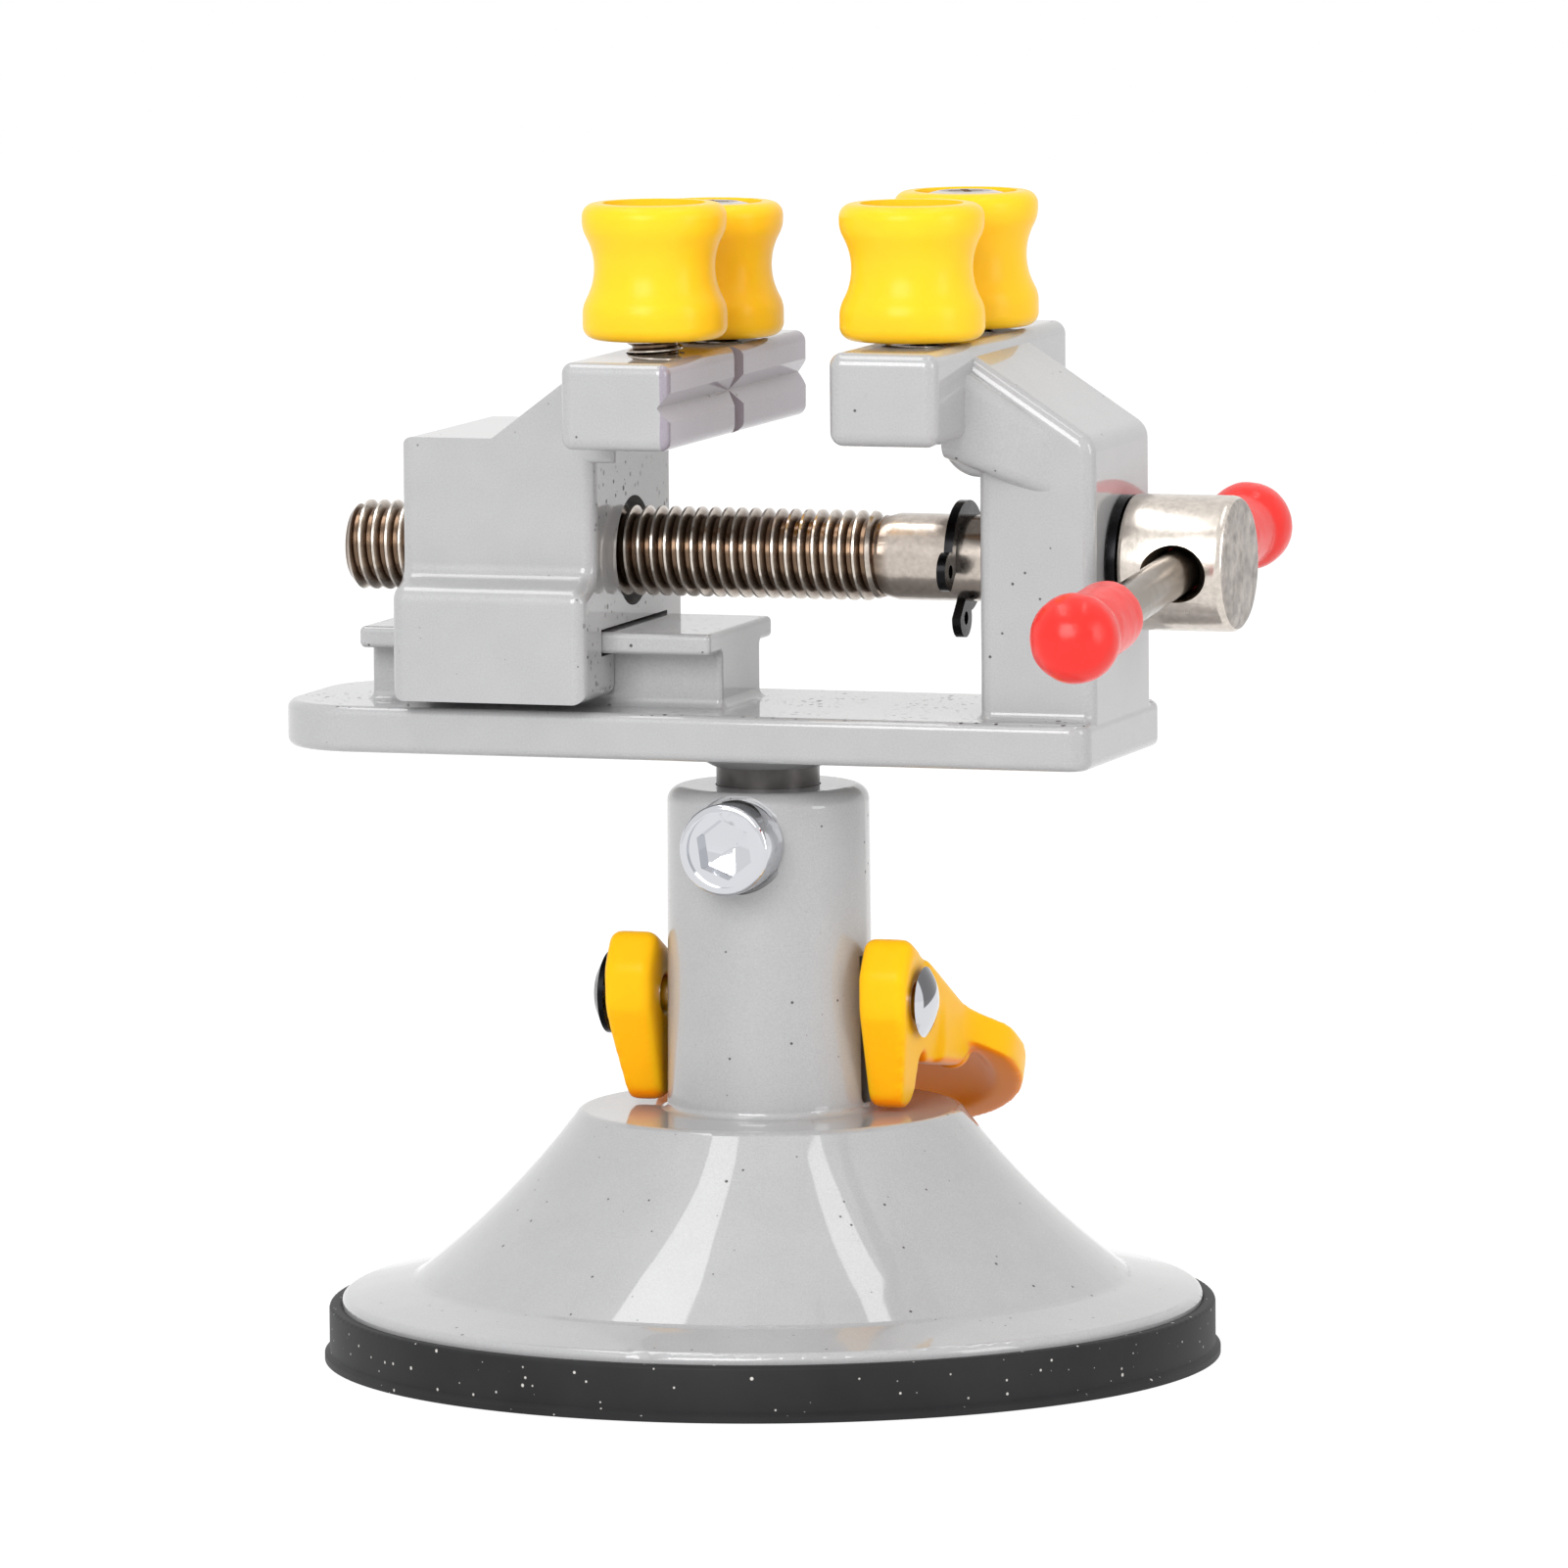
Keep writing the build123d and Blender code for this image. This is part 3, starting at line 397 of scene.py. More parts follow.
rubber = {
    "black": (0.013, 0.013, 0.014), "lint": (0.55, 0.53, 0.50), "rough": 0.55, "gloss": 0.22,
    "cloud": {"Scale": 220.0, "Depth": 0.7}, "lintSpecks": {"Scale": 1050.0, "Size": 0.20, "Share": 0.75},
    "fineScale": 3000.0, "fineDepth": 0.01 * mm,
}


def makeRubber(name):
    material, tree, shader = newFinish(name, rubber["black"], rubber["rough"], gloss=rubber["gloss"])
    place = objectPlace(tree)[0]
    black = timesColour(tree, rubber["black"], useEffect(tree, "grain", Vector=place, **rubber["cloud"]))
    lint = useEffect(tree, "specks", Vector=place, **rubber["lintSpecks"])
    feed(tree, shader.inputs["Base Color"], blendColour(tree, lint, black, rubber["lint"]))
    bumpBy(tree, shader, noiseHeight(tree, place, rubber["fineScale"]), rubber["fineDepth"])
    return material


rubberBlack = makeRubber("rubberBlack")
print("paint, plastics and rubber ready")


# metals

metalTones = {
    # the thread tone is painted shade for the thread roots
    "nickel": (0.66, 0.60, 0.54), "thread": (0.16, 0.105, 0.07), "cutFace": (0.42, 0.385, 0.36),
    "bar": (0.27, 0.235, 0.20), "chrome": (0.62, 0.63, 0.66), "black": (0.012, 0.012, 0.013),
    # the dark chrome tone is a painted reflection, used in blotches and on the pin's head
    # the post's tone is painted shadow for the shade it sits in under the plate
    "paintedPostShade": (0.085, 0.080, 0.078), "paintedReflection": (0.16, 0.16, 0.17),
}
nickel = {
    "rough": 0.22, "rootShadeFade": 1.6,
    "smear": {"Scale": 420.0, "Depth": 1.2}, "grain": {"Scale": 1800.0, "Depth": 0.5},
    "cutRough": 0.3, "cutMottle": {"Scale": 900.0, "Depth": 1.3},
    "gougeScale": 420.0, "gougeDetail": 6.0, "gougeDepth": 0.6 * mm, "gougeElsewhere": 0.06,
}


def makeNickel(name, axisPlace, root, crest, cutPlace=None):
    # plain nickel on the crests, with painted shade darkening it to brown in the thread roots; axisPlace
    # names the two axes across the screw and where its own axis crosses them, and beyond cutPlace along the
    # row lies a rough cut face
    material, tree, shader = newFinish(name, metalTones["nickel"], nickel["rough"], metal=1.0)
    place, at, _ = objectPlace(tree)
    (first, firstAt), (second, secondAt) = axisPlace
    a = mathNode(tree, "SUBTRACT", at[first], firstAt)
    b = mathNode(tree, "SUBTRACT", at[second], secondAt)
    square = mathNode(tree, "ADD", mathNode(tree, "MULTIPLY", a, a), mathNode(tree, "MULTIPLY", b, b))
    out = mathNode(tree, "SUBTRACT", mathNode(tree, "SQRT", square), root)
    rise = mathNode(tree, "DIVIDE", out, crest - root, clamp=True)
    rise = mathNode(tree, "POWER", rise, nickel["rootShadeFade"])
    colour = blendColour(tree, rise, metalTones["thread"], metalTones["nickel"])
    colour = timesColour(tree, colour, useEffect(tree, "grain", Vector=place, **nickel["grain"]))
    smear = useEffect(tree, "grain", Vector=place, **nickel["smear"])
    rough = mathNode(tree, "MULTIPLY", smear, nickel["rough"])
    if cutPlace:
        cut = mathNode(tree, "GREATER_THAN", at[0], cutPlace)
        mottle = useEffect(tree, "grain", Vector=place, **nickel["cutMottle"])
        colour = blendColour(tree, cut, colour, timesColour(tree, metalTones["cutFace"], mottle))
        rough = mathNode(tree, "ADD", rough, mathNode(tree, "MULTIPLY", cut, nickel["cutRough"]))
        gouge = noiseHeight(tree, place, nickel["gougeScale"], nickel["gougeDetail"])
        share = mathNode(tree, "ADD", cut, nickel["gougeElsewhere"])
        bumpBy(tree, shader, mathNode(tree, "MULTIPLY", gouge, share), nickel["gougeDepth"])
    feed(tree, shader.inputs["Base Color"], colour)
    feed(tree, shader.inputs["Roughness"], rough)
    return material


steel = {"mottle": {"Scale": 700.0, "Depth": 0.3}, "smear": {"Scale": 900.0, "Depth": 1.0}}


def makeSteel(name, colour, rough):
    material, tree, shader = newFinish(name, colour, rough, metal=1.0)
    place = objectPlace(tree)[0]
    mottle = useEffect(tree, "grain", Vector=place, **steel["mottle"])
    smear = useEffect(tree, "grain", Vector=place, **steel["smear"])
    feed(tree, shader.inputs["Base Color"], timesColour(tree, colour, mottle))
    feed(tree, shader.inputs["Roughness"], mathNode(tree, "MULTIPLY", smear, rough))
    return material


pinHeight = (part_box("lever_pin")[0].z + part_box("lever_pin")[1].z) / 2
plating = {
    "rough": 0.07, "cloud": {"Scale": 520.0, "Depth": 1.6}, "cloudCut": 0.72, "cloudGain": 3.0,
    # painted dark reflection on the pin's head, inside these planes: normal, distance
    "pinReflection": (((1, 0, 0), 14.3 * mm), ((0, -0.55, 1), pinHeight + 0.9 * mm), ((0, 1, 0), -2.3 * mm)),
    "patchGain": 9000.0,
}


def makeChrome(name, patch=()):
    material, tree, shader = newFinish(name, metalTones["chrome"], plating["rough"], metal=1.0)
    place = objectPlace(tree)[0]
    # painted dark reflections: blotches where the cloud is low and, when planes are given, the patch inside
    # them
    cloud = useEffect(tree, "grain", Vector=place, **plating["cloud"])
    dark = mathNode(tree, "SUBTRACT", plating["cloudCut"], cloud, clamp=True)
    dark = mathNode(tree, "MULTIPLY", dark, plating["cloudGain"], clamp=True)
    inside = 1.0
    for normal, distance in patch:
        reach = tree.nodes.new("ShaderNodeVectorMath")
        reach.operation = "DOT_PRODUCT"
        feed(tree, reach.inputs[0], place)
        feed(tree, reach.inputs[1], normal)
        side = mathNode(tree, "SUBTRACT", reach.outputs["Value"], distance)
        side = mathNode(tree, "MULTIPLY", side, plating["patchGain"], clamp=True)
        inside = mathNode(tree, "MULTIPLY", side, inside)
    if patch:
        dark = mathNode(tree, "MAXIMUM", dark, inside)
    feed(tree, shader.inputs["Base Color"],
         blendColour(tree, dark, metalTones["chrome"], metalTones["paintedReflection"]))
    return material


darkSteel = makeSteel("darkSteel", metalTones["bar"], 0.20)
# painted shadow: the swivel post's steel is coloured dark for the shade under the plate
postShadeSteel = makeSteel("postShadeSteel", metalTones["paintedPostShade"], 0.35)
blackSteel = makeSteel("blackSteel", metalTones["black"], 0.25)
chrome = makeChrome("chrome")
pinChrome = makeChrome("pinChrome", plating["pinReflection"])
print("metals ready")


# modelling steps that several pieces use

tiny = 1e-6


def pick(piece):
    bpy.ops.object.select_all(action="DESELECT")
    piece.select_set(True)
    bpy.context.view_layer.objects.active = piece


def settle(piece, name=None):
    pick(piece)
    bpy.ops.object.transform_apply(location=True, rotation=True, scale=True)
    if name:
        piece.name = name
    return piece


def newShape(add, **values):
    bpy.ops.object.select_all(action="DESELECT")
    add(**values)
    return bpy.context.object


def addRod(name, radius, low, high, sides=64):
    # round bar along Z
    rod = newShape(bpy.ops.mesh.primitive_cylinder_add, vertices=sides, radius=radius,
                   depth=high - low, location=(0, 0, (low + high) / 2))
    return settle(rod, name)


def editAll(piece):
    pick(piece)
    bpy.ops.object.mode_set(mode="EDIT")
    bpy.ops.mesh.select_all(action="SELECT")


def selectIn(piece, kind, wanted):
    # enters edit mode with the faces, edges or points that pass a test selected
    pick(piece)
    bpy.ops.object.mode_set(mode="EDIT")
    bpy.ops.mesh.select_mode(type=kind)
    bpy.ops.mesh.select_all(action="DESELECT")
    mesh = bmesh.from_edit_mesh(piece.data)
    if kind == "FACE":
        for face in mesh.faces:
            face.select_set(wanted(face.calc_center_median(), face.normal))
    elif kind == "EDGE":
        for edge in mesh.edges:
            edge.select_set(wanted(edge.verts[0].co, edge.verts[1].co))
    else:
        for point in mesh.verts:
            point.select_set(wanted(point.co))
    mesh.select_flush_mode()
    bmesh.update_edit_mesh(piece.data)


def facesUp(centre, normal):
    return normal.z > 0.9


def facesDown(centre, normal):
    return normal.z < -0.9


def leaveEdit():
    bpy.ops.object.mode_set(mode="OBJECT")


def resize(across):
    # scales what is selected across Z
    bpy.ops.transform.resize(value=(across, across, 1), center_override=(0, 0, 0))


def push(rise, across=None):
    # extrudes what is selected along Z, then scales it across Z
    bpy.ops.mesh.extrude_region_move(TRANSFORM_OT_translate={"value": (0, 0, rise)})
    if across:
        resize(across)


def roundRim(piece, height, width, segments=4):
    selectIn(piece, "EDGE", lambda a, b: abs(a.z - height) < tiny and abs(b.z - height) < tiny)
    bpy.ops.mesh.bevel(offset=width, segments=segments, affect="EDGES")
    leaveEdit()


def combine(piece, tool, operation="DIFFERENCE"):
    change = piece.modifiers.new(operation.lower(), "BOOLEAN")
    change.operation = operation
    change.solver = "EXACT"
    change.object = tool
    pick(piece)
    bpy.ops.object.modifier_apply(modifier=change.name)
    bpy.data.objects.remove(tool)
    return piece


def soften(piece, voxel, passes):
    skin = piece.modifiers.new("skin", "REMESH")
    skin.mode = "VOXEL"
    skin.voxel_size = voxel
    smooth = piece.modifiers.new("smooth", "SMOOTH")
    smooth.factor = 0.5
    smooth.iterations = passes
    pick(piece)
    bpy.ops.object.modifier_apply(modifier=skin.name)
    bpy.ops.object.modifier_apply(modifier=smooth.name)


def finish(piece, material, body, stand, angle=35):
    editAll(piece)
    bpy.ops.mesh.normals_make_consistent(inside=False)
    leaveEdit()
    bpy.ops.object.shade_smooth_by_angle(angle=math.radians(angle))
    piece.data.materials.clear()
    piece.data.materials.append(material)
    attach(piece, body)
    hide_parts(stand)


def copyPiece(piece, name, place, turn=(0, 0, 0)):
    twin = bpy.data.objects.new(name, piece.data.copy())
    bpy.context.scene.collection.objects.link(twin)
    twin.location = place
    twin.rotation_euler = turn
    return settle(twin)


# thread's profile: rise as a share of the pitch, way out as a share of the thread's depth
threadSteps = ((0.13, 0.0), (0.17, 0.62), (0.12, 0.38), (0.16, 0.0), (0.12, -0.38), (0.17, -0.62),
               (0.13, 0.0))


def addThread(name, thread, low, high):
    # thread along Z: one pitch of its profile, swept up, closed at both ends and cut to length
    pitch, root, crest = thread["pitch"], thread["root"], thread["crest"]
    start = low - 2 * pitch
    turns = int((high - start) / pitch) + 2
    screw = newShape(bpy.ops.mesh.primitive_plane_add, size=pitch)
    bpy.ops.object.mode_set(mode="EDIT")
    bpy.ops.mesh.select_mode(type="VERT")
    bpy.ops.mesh.select_all(action="SELECT")
    bpy.ops.mesh.merge(type="CENTER")
    bpy.ops.transform.translate(value=(root, 0, start))
    for up, out in threadSteps:
        step = (out * (crest - root), 0, up * pitch)
        bpy.ops.mesh.extrude_region_move(TRANSFORM_OT_translate={"value": step})
    leaveEdit()
    sweep = screw.modifiers.new("sweep", "SCREW")
    sweep.axis = "Z"
    sweep.screw_offset = pitch
    sweep.iterations = turns
    sweep.steps = sweep.render_steps = thread["sides"]
    pick(screw)
    bpy.ops.object.modifier_apply(modifier=sweep.name)
    editAll(screw)
    bpy.ops.mesh.remove_doubles(threshold=tiny)
    top = start + (turns + 1) * pitch
    for end, tip in ((start, start - pitch), (top, top + pitch)):
        # the open edge at this end is drawn together into one point
        bpy.ops.mesh.select_mode(type="EDGE")
        bpy.ops.mesh.select_all(action="DESELECT")
        bpy.ops.mesh.select_non_manifold(extend=False)
        mesh = bmesh.from_edit_mesh(screw.data)
        for edge in mesh.edges:
            if edge.select and abs(edge.verts[0].co.z - end) > 1.6 * pitch:
                edge.select_set(False)
        bmesh.update_edit_mesh(screw.data)
        push(0)
        bpy.ops.transform.resize(value=(0, 0, 0), center_override=(0, 0, tip))
        bpy.ops.mesh.select_all(action="SELECT")
        bpy.ops.mesh.remove_doubles(threshold=0.1 * tiny)
    bpy.ops.mesh.normals_make_consistent(inside=False)
    leaveEdit()
    blank = addRod("blank", crest * 1.002, low, high)
    roundRim(blank, low, thread["chamfer"], 1)
    if "runOut" in thread:
        selectIn(blank, "FACE", facesUp)
        push(thread["runOut"], root / crest)
        leaveEdit()
    screw.name = name
    return combine(screw, blank, "INTERSECT")


# lead screw: thread, shank with its run-out, and drilled head

leadScrew = {
    "pitch": 1.25 * mm, "crest": 4.0 * mm, "root": 3.28 * mm, "sides": 48,
    "chamfer": 0.7 * mm, "runOut": 2.2 * mm, "threadEnd": 10.0 * mm,
    "shank": 3.83 * mm, "shankStart": 12.6 * mm, "shankCone": 2.4 * mm, "shankFoot": 2.0 * mm,
    "underRoot": 0.98, "intoHead": 1.0 * mm,
    "head": 6.0 * mm, "headLeft": 34.0 * mm, "headRound": 0.9 * mm, "neckRound": 0.6 * mm,
    "hole": 2.2 * mm, "holeMouth": 1.55, "holeCone": 1.7 * mm, "holeOver": 0.6 * mm,
    # inside the first of the next two radii the thread roots are painted brown as shade, beyond the second
    # the nickel is plain
    "rootShadeTo": 3.3 * mm, "brightFrom": 3.95 * mm, "cutDepth": 0.25 * mm, "barWidth": 3.9 * mm,
}
screwLow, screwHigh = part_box("lead_screw")
screwHeight = (screwLow.z + screwHigh.z) / 2
barLow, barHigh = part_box("tommy_bar")
barAcross = (barLow.x + barHigh.x) / 2
barTilt = math.atan2(barHigh.z - barLow.z - leadScrew["barWidth"], barHigh.y - barLow.y)


def makeLeadScrew(size):
    screw = addThread("leadScrew", size, screwLow.x, size["threadEnd"])
    shank = addRod("shank", size["shank"], size["shankStart"], size["headLeft"] + size["intoHead"])
    selectIn(shank, "FACE", facesDown)
    push(-size["shankCone"], size["root"] / size["shank"] * size["underRoot"])
    push(-size["shankFoot"])
    leaveEdit()
    combine(screw, shank, "UNION")
    head = addRod("head", size["head"], size["headLeft"], screwHigh.x, 96)
    roundRim(head, size["headLeft"], size["neckRound"])
    roundRim(head, screwHigh.x, size["headRound"])
    straight = size["head"] - size["holeCone"] + size["holeOver"]
    hole = addRod("hole", size["hole"], -straight, straight)
    for side, towards in ((-1, facesDown), (1, facesUp)):
        selectIn(hole, "FACE", towards)
        push(side * size["holeCone"], size["holeMouth"])
        leaveEdit()
    hole.rotation_euler = (math.radians(-90) + barTilt, 0, 0)
    settle(hole)
    # the screw still stands along Z, so its own X is the row's -Z
    hole.rotation_euler = (0, math.radians(-90), 0)
    settle(hole)
    hole.location = (0, 0, barAcross)
    settle(hole)
    combine(head, hole)
    combine(screw, head, "UNION")
    screw.rotation_euler = (0, math.radians(90), 0)
    screw.location = (0, 0, screwHeight)
    settle(screw)
    plated = makeNickel("nickel", ((1, 0.0), (2, screwHeight)), size["rootShadeTo"], size["brightFrom"],
                        screwHigh.x - size["cutDepth"])
    finish(screw, plated, "screw", "lead_screw", angle=40)


makeLeadScrew(leadScrew)
print("lead screw ready")


# screws of the pegs, one modelled and copied to its four places

pegScrew = {
    "pitch": 0.8 * mm, "crest": 2.5 * mm, "root": 2.05 * mm, "sides": 32, "chamfer": 0.45 * mm,
    "head": 4.4 * mm, "headHeight": 1.6 * mm, "intoHead": 0.2 * mm, "rimRound": 0.12 * mm,
    "dome": 0.5 * mm, "domeSteps": (0.30, 0.32, 0.22, 0.16), "domeShrink": 0.86,
    "recess": (4.2 * mm, 0.95 * mm, 1.1 * mm), "recessTurn": 25, "recessFoot": 0.5,
    # inside the first of these two radii the thread roots are painted brown as shade, beyond the second the
    # nickel is plain
    "rootShadeTo": 2.0 * mm, "brightFrom": 2.5 * mm,
}
pegNames = ("movable_front", "movable_rear", "fixed_front", "fixed_rear")


def makePegScrews(size):
    lowest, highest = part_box("peg_screw_" + pegNames[0])
    screw = addThread("pegScrew", size, lowest.z - highest.z, size["intoHead"] - size["headHeight"])
    head = addRod("head", size["head"], -size["headHeight"], -size["dome"])
    selectIn(head, "FACE", facesUp)
    for rise in size["domeSteps"]:
        push(rise * size["dome"], size["domeShrink"])
    leaveEdit()
    roundRim(head, -size["dome"], size["rimRound"], 2)
    for turn in (0, 90):
        slot = newShape(bpy.ops.mesh.primitive_cube_add, size=1)
        slot.scale = size["recess"]
        slot.rotation_euler = (0, 0, math.radians(turn + size["recessTurn"]))
        settle(slot)
        selectIn(slot, "FACE", facesDown)
        resize(size["recessFoot"])
        leaveEdit()
        combine(head, slot)
    combine(screw, head, "UNION")
    for name in pegNames:
        lowest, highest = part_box("peg_screw_" + name)
        middle = (lowest + highest) / 2
        twin = copyPiece(screw, "pegScrew_" + name, (middle.x, middle.y, highest.z))
        plated = makeNickel("plated_" + name, ((0, middle.x), (1, middle.y)), size["rootShadeTo"],
                            size["brightFrom"])
        finish(twin, plated, f"peg_{name}_screw", "peg_screw_" + name)
    bpy.data.objects.remove(screw)


makePegScrews(pegScrew)
print("peg screws ready")


# soft caps on the ends of the bar

cap = {
    "ball": 4.0 * mm, "neck": 3.25 * mm, "length": 10.0 * mm, "voxel": 0.22 * mm, "passes": 8,
    "dent": 0.22 * mm, "dentSize": 3.5 * mm, "dentMiddle": 0.75,
}


def makeCaps(size):
    ball = newShape(bpy.ops.mesh.primitive_uv_sphere_add, segments=48, ring_count=24, radius=size["ball"])
    settle(ball, "barCap")
    combine(ball, addRod("neck", size["neck"], -size["length"], 0), "UNION")
    soften(ball, size["voxel"], size["passes"])
    lumps = bpy.data.textures.new("lumps", "CLOUDS")
    lumps.noise_scale = size["dentSize"]
    dents = ball.modifiers.new("dents", "DISPLACE")
    dents.texture = lumps
    dents.strength = size["dent"]
    dents.mid_level = size["dentMiddle"]
    pick(ball)
    bpy.ops.object.modifier_apply(modifier=dents.name)
    for name, side in (("near", -1), ("far", 1)):
        lowest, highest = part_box("bar_cap_" + name)
        y = lowest.y + size["ball"] if side < 0 else highest.y - size["ball"]
        place = ((lowest.x + highest.x) / 2, y, screwHeight + y * math.tan(barTilt))
        twin = copyPiece(ball, "barCap_" + name, place, (-side * math.radians(90) + barTilt, 0, 0))
        finish(twin, redVinyl, "bar", "bar_cap_" + name, angle=60)
    bpy.data.objects.remove(ball)


makeCaps(cap)
print("caps ready")


# suction pad: lip at the bench, raised rim round the casting, hollow underneath

pad = {
    "radius": 40.0 * mm, "wall": 39.55 * mm, "height": 4.9 * mm, "lip": 0.55 * mm, "lipSlope": 0.35 * mm,
    "rim": 1.25 * mm, "rimRound": 0.35 * mm, "seat": 0.3 * mm,
    "ring": 9.0 * mm, "slope": 28.0 * mm, "rise": 2.2 * mm,
}


def makePad(size):
    disc = addRod("suctionPad", size["radius"], 0, size["height"], 192)
    lipTop = size["lip"] + size["lipSlope"]
    editAll(disc)
    for height in (size["lip"], lipTop):
        bpy.ops.mesh.select_all(action="SELECT")
        bpy.ops.mesh.bisect(plane_co=(0, 0, height), plane_no=(0, 0, 1))
    leaveEdit()
    selectIn(disc, "VERT", lambda at: at.z > lipTop - 0.05 * mm)
    resize(size["wall"] / size["radius"])
    leaveEdit()
    selectIn(disc, "FACE", facesUp)
    bpy.ops.mesh.inset(thickness=size["rim"])
    push(-size["seat"])
    leaveEdit()
    selectIn(disc, "FACE", facesDown)
    bpy.ops.mesh.inset(thickness=size["ring"])
    bpy.ops.mesh.inset(thickness=size["slope"])
    bpy.ops.transform.translate(value=(0, 0, size["rise"]))
    leaveEdit()
    # both edges of the rim's top
    inner = size["wall"] - size["rim"] - 0.1 * mm
    selectIn(disc, "EDGE", lambda a, b: min(a.z, b.z) > size["height"] - tiny
             and min(a.xy.length, b.xy.length) > inner)
    bpy.ops.mesh.bevel(offset=size["rimRound"], segments=3, affect="EDGES")
    leaveEdit()
    finish(disc, rubberBlack, "base", "suction_pad", angle=40)


makePad(pad)
print("suction pad ready")


# lever: the solid's shape with its taper, dished seats, ribs and moulded bowl

lever = {
    "voxel": 0.25 * mm, "passes": 22,
    "armAngle": 26.5, "armLevel": 4.85 * mm, "thickness": 3.1 * mm, "half": 17.0 * mm, "reach": 36.9 * mm,
    "plugInset": 1.5 * mm, "plugTop": 1.0 * mm, "plugLead": 1.0 * mm,
    "bowlRim": 2.6 * mm, "bowlDepth": 1.9 * mm, "bowlStart": 17.5 * mm,
    "cheek": 14.2 * mm, "wedge": (10 * mm, 13 * mm, 20 * mm), "wedgeDrop": 9.0 * mm,
    "footCut": 2.9 * mm, "headCut": 0.25 * mm,
    "dish": 4.1 * mm, "dishDepth": 0.35 * mm, "dishOver": 3.0 * mm,
    "rib": 1.75 * mm, "ribRound": 0.7, "ribPlace": (12.0 * mm, 16.2 * mm, 24.2 * mm),
    "ribLength": 4.6 * mm, "ribLean": 27.0,
}


def ontoArm(tool, size):
    tool.rotation_euler = (-math.radians(size["armAngle"]), 0, 0)
    tool.location = (0, 0, pinHeight + size["armLevel"])
    return settle(tool)


def trimFront(tool, start):
    # cuts away what lies in front of the bowl and closes the cut
    editAll(tool)
    bpy.ops.mesh.bisect(plane_co=(0, start, 0), plane_no=(0, 1, 0), clear_inner=True, use_fill=True)
    leaveEdit()


def taperCheek(piece, side, size):
    # the wedge that is cut off bites deep at the cheek's foot and just misses its head
    width = size["wedge"][0]
    middle = pinHeight - size["wedgeDrop"]
    wedge = newShape(bpy.ops.mesh.primitive_cube_add, size=1,
                     location=(side * (size["cheek"] + width / 2), 0, middle))
    wedge.scale = size["wedge"]
    settle(wedge)
    selectIn(wedge, "VERT", lambda at: abs(at.x) < size["cheek"] + width / 2 and at.z < middle)
    bpy.ops.transform.translate(value=(-side * size["footCut"], 0, 0))
    leaveEdit()
    selectIn(wedge, "VERT", lambda at: at.z > middle)
    bpy.ops.transform.translate(value=(side * size["headCut"], 0, 0))
    leaveEdit()
    combine(piece, wedge)


def fillPaddle(piece, size):
    # the paddle gets its full thickness back, then a smooth bowl from below
    along = 1 / math.cos(math.radians(size["armAngle"]))
    middle = (size["reach"] - size["half"]) * along
    plug = addRod("plug", size["half"] - size["plugInset"], -size["thickness"], -size["plugTop"], 96)
    plug.scale = (1, along, 1)
    plug.location = (0, middle, 0)
    settle(plug)
    trimFront(plug, size["bowlStart"] - size["plugLead"])
    combine(piece, ontoArm(plug, size), "UNION")
    bowl = newShape(bpy.ops.mesh.primitive_uv_sphere_add, segments=64, ring_count=32, radius=1)
    wide = size["half"] - size["bowlRim"]
    bowl.scale = (wide, wide * along, size["bowlDepth"])
    bowl.location = (0, middle, -size["thickness"])
    settle(bowl)
    trimFront(bowl, size["bowlStart"])
    combine(piece, ontoArm(bowl, size))


def makeLever(size):
    piece = bpy.data.objects.new("leverSoft", nodes["lever"].data.copy())
    bpy.context.scene.collection.objects.link(piece)
    editAll(piece)
    bpy.ops.mesh.remove_doubles(threshold=tiny)
    leaveEdit()
    fillPaddle(piece, size)
    for side in (-1, 1):
        taperCheek(piece, side, size)
        dish = addRod("dish", size["dish"], 0, size["dishOver"], 48)
        dish.rotation_euler = (0, side * math.radians(90), 0)
        dish.location = (side * (size["cheek"] - size["dishDepth"]), 0, pinHeight)
        combine(piece, settle(dish))
        rib = addRod("rib", size["rib"], 0, size["ribLength"], 32)
        roundRim(rib, 0, size["rib"] * size["ribRound"])
        rib.rotation_euler = (math.radians(size["ribLean"]), 0, 0)
        x, y, z = size["ribPlace"]
        rib.location = (side * x, y, z)
        combine(piece, settle(rib), "UNION")
    soften(piece, size["voxel"], size["passes"])
    finish(piece, orangePlastic, "lever", "lever", angle=60)


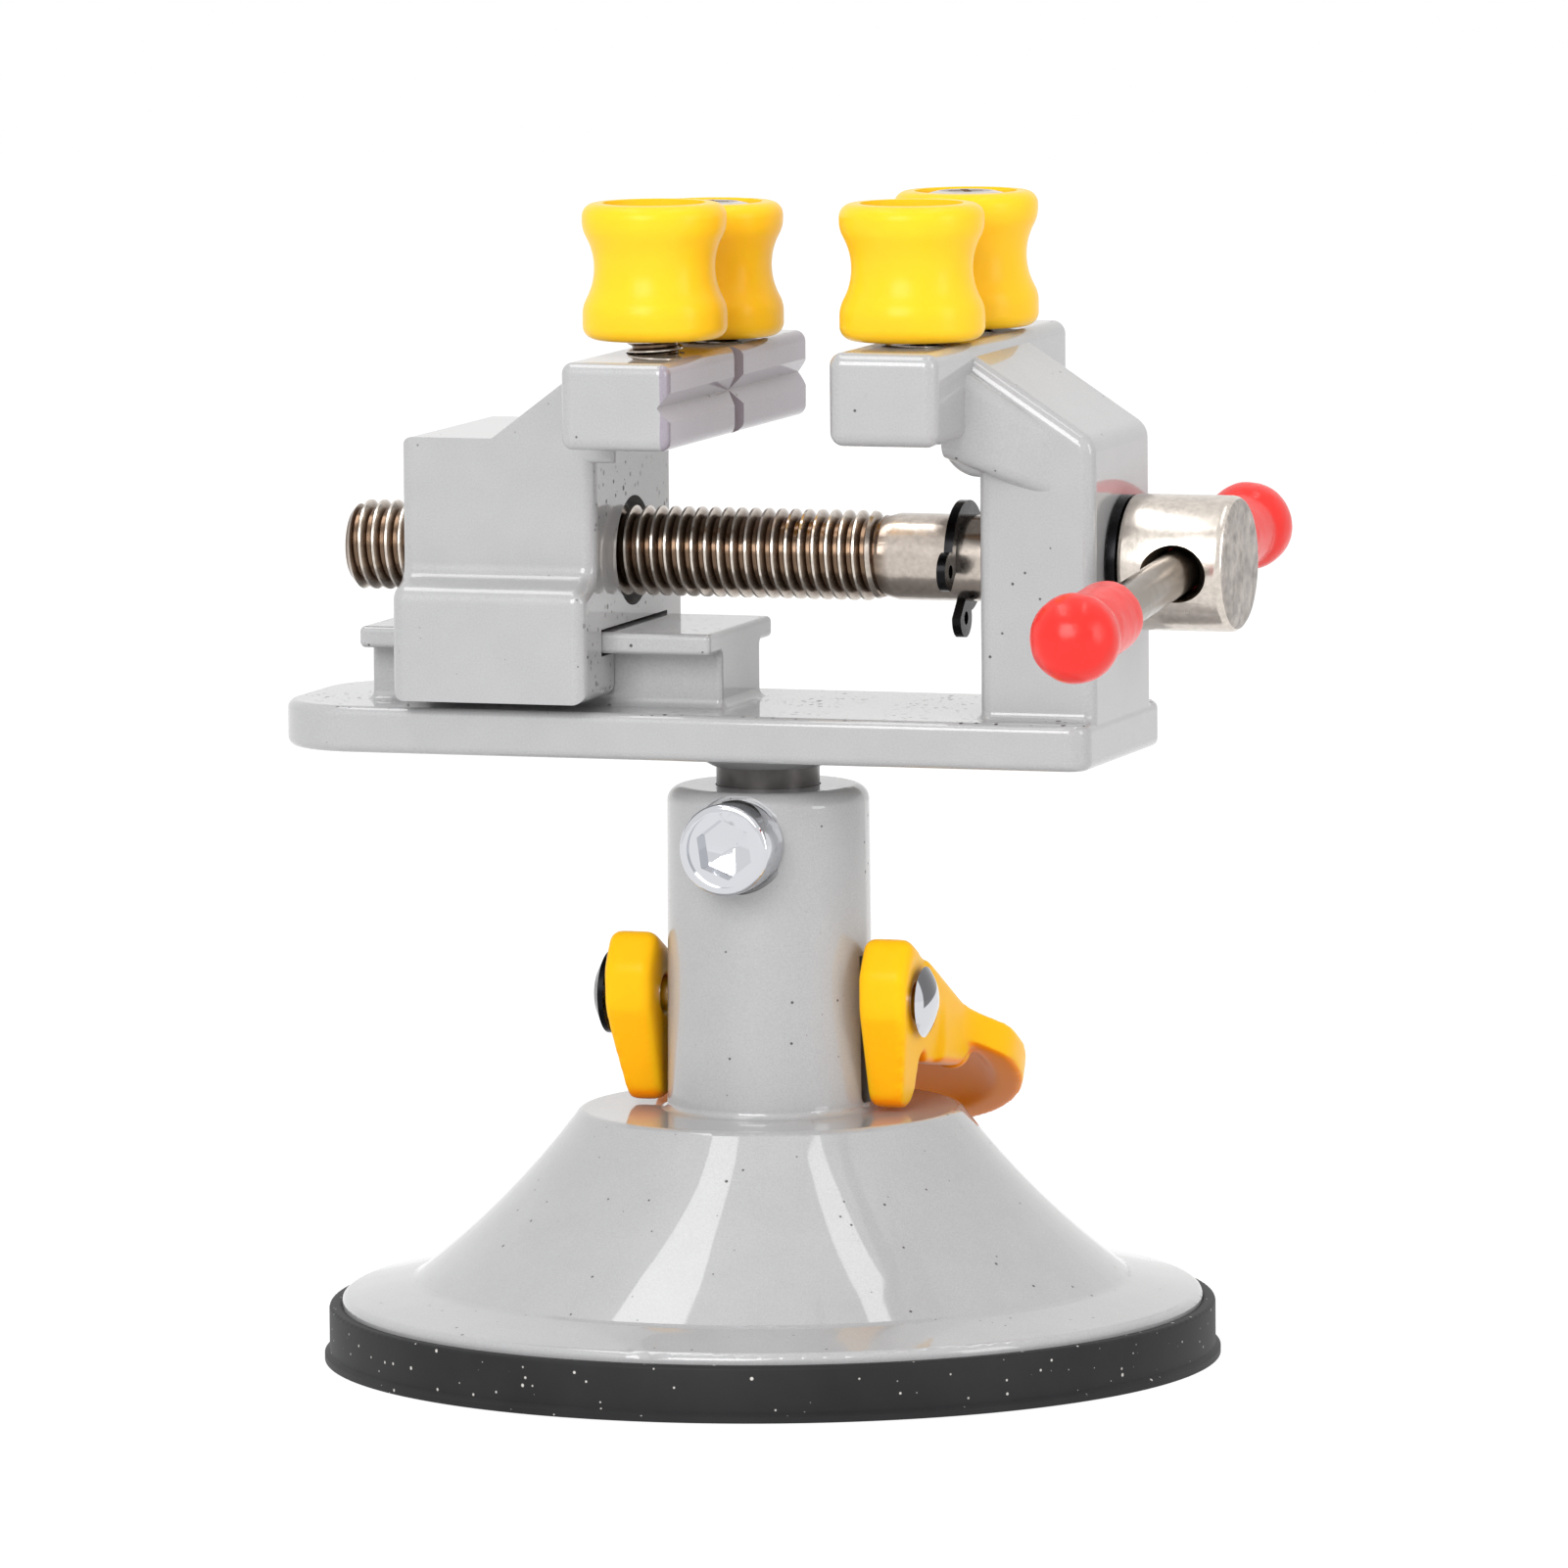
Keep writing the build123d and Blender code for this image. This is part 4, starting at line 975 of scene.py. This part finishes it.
makeLever(lever)
print("lever ready")


# clamp screw: head with its rim, ring and hexagon, and a plain stem

clamp = {
    "head": 4.1 * mm, "length": 4.6 * mm, "rimRound": 0.45 * mm, "over": 1.0 * mm,
    "ring": 3.35 * mm, "ringDepth": 0.35 * mm,
    "hexFlats": 4.7 * mm, "hexDepth": 2.6 * mm, "hexTurn": 8, "tip": 0.8 * mm, "tipShrink": 0.1,
    "stem": 2.5 * mm, "intoHead": 0.3 * mm,
}


def makeClampScrew(size):
    lowest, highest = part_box("clamp_screw")
    top = size["length"]
    screw = addRod("clampScrew", size["head"], 0, top, 96)
    roundRim(screw, top, size["rimRound"])
    combine(screw, addRod("ring", size["ring"], top - size["ringDepth"], top + size["over"], 96))
    corner = size["hexFlats"] / 2 / math.cos(math.radians(30))
    hexagon = addRod("hexagon", corner, top - size["hexDepth"], top + size["over"], 6)
    selectIn(hexagon, "FACE", facesDown)
    push(-size["tip"], size["tipShrink"])
    leaveEdit()
    hexagon.rotation_euler = (0, 0, math.radians(size["hexTurn"]))
    combine(screw, settle(hexagon))
    stem = addRod("stem", size["stem"], top - (highest.y - lowest.y), size["intoHead"], 48)
    combine(screw, stem, "UNION")
    screw.rotation_euler = (math.radians(90), 0, 0)
    screw.location = (0, lowest.y + top, (lowest.z + highest.z) / 2)
    settle(screw)
    finish(screw, chrome, "clamp_screw", "clamp_screw", angle=30)


makeClampScrew(clamp)
print("clamp screw ready")


# finishes of the nodes that are shown as they are

nodeFinish = {
    "base_casting": basePaint, "vise_body": bodyPaint, "movable_jaw": jawPaint,
    "lever_pin": pinChrome, "tommy_bar": darkSteel, "thrust_washer": blackSteel,
    "screw_circlip": blackSteel, "pin_push_nut": blackSteel, "pad_disc": darkSteel,
    "plunger_rod": darkSteel, "swivel_post": postShadeSteel,
}
for name in pegNames:
    nodeFinish["peg_sleeve_" + name] = yellowPlastic
for name, node in nodes.items():
    node.data.materials.clear()
    node.data.materials.append(nodeFinish.get(name, basePaint))
print("finishes on the nodes")
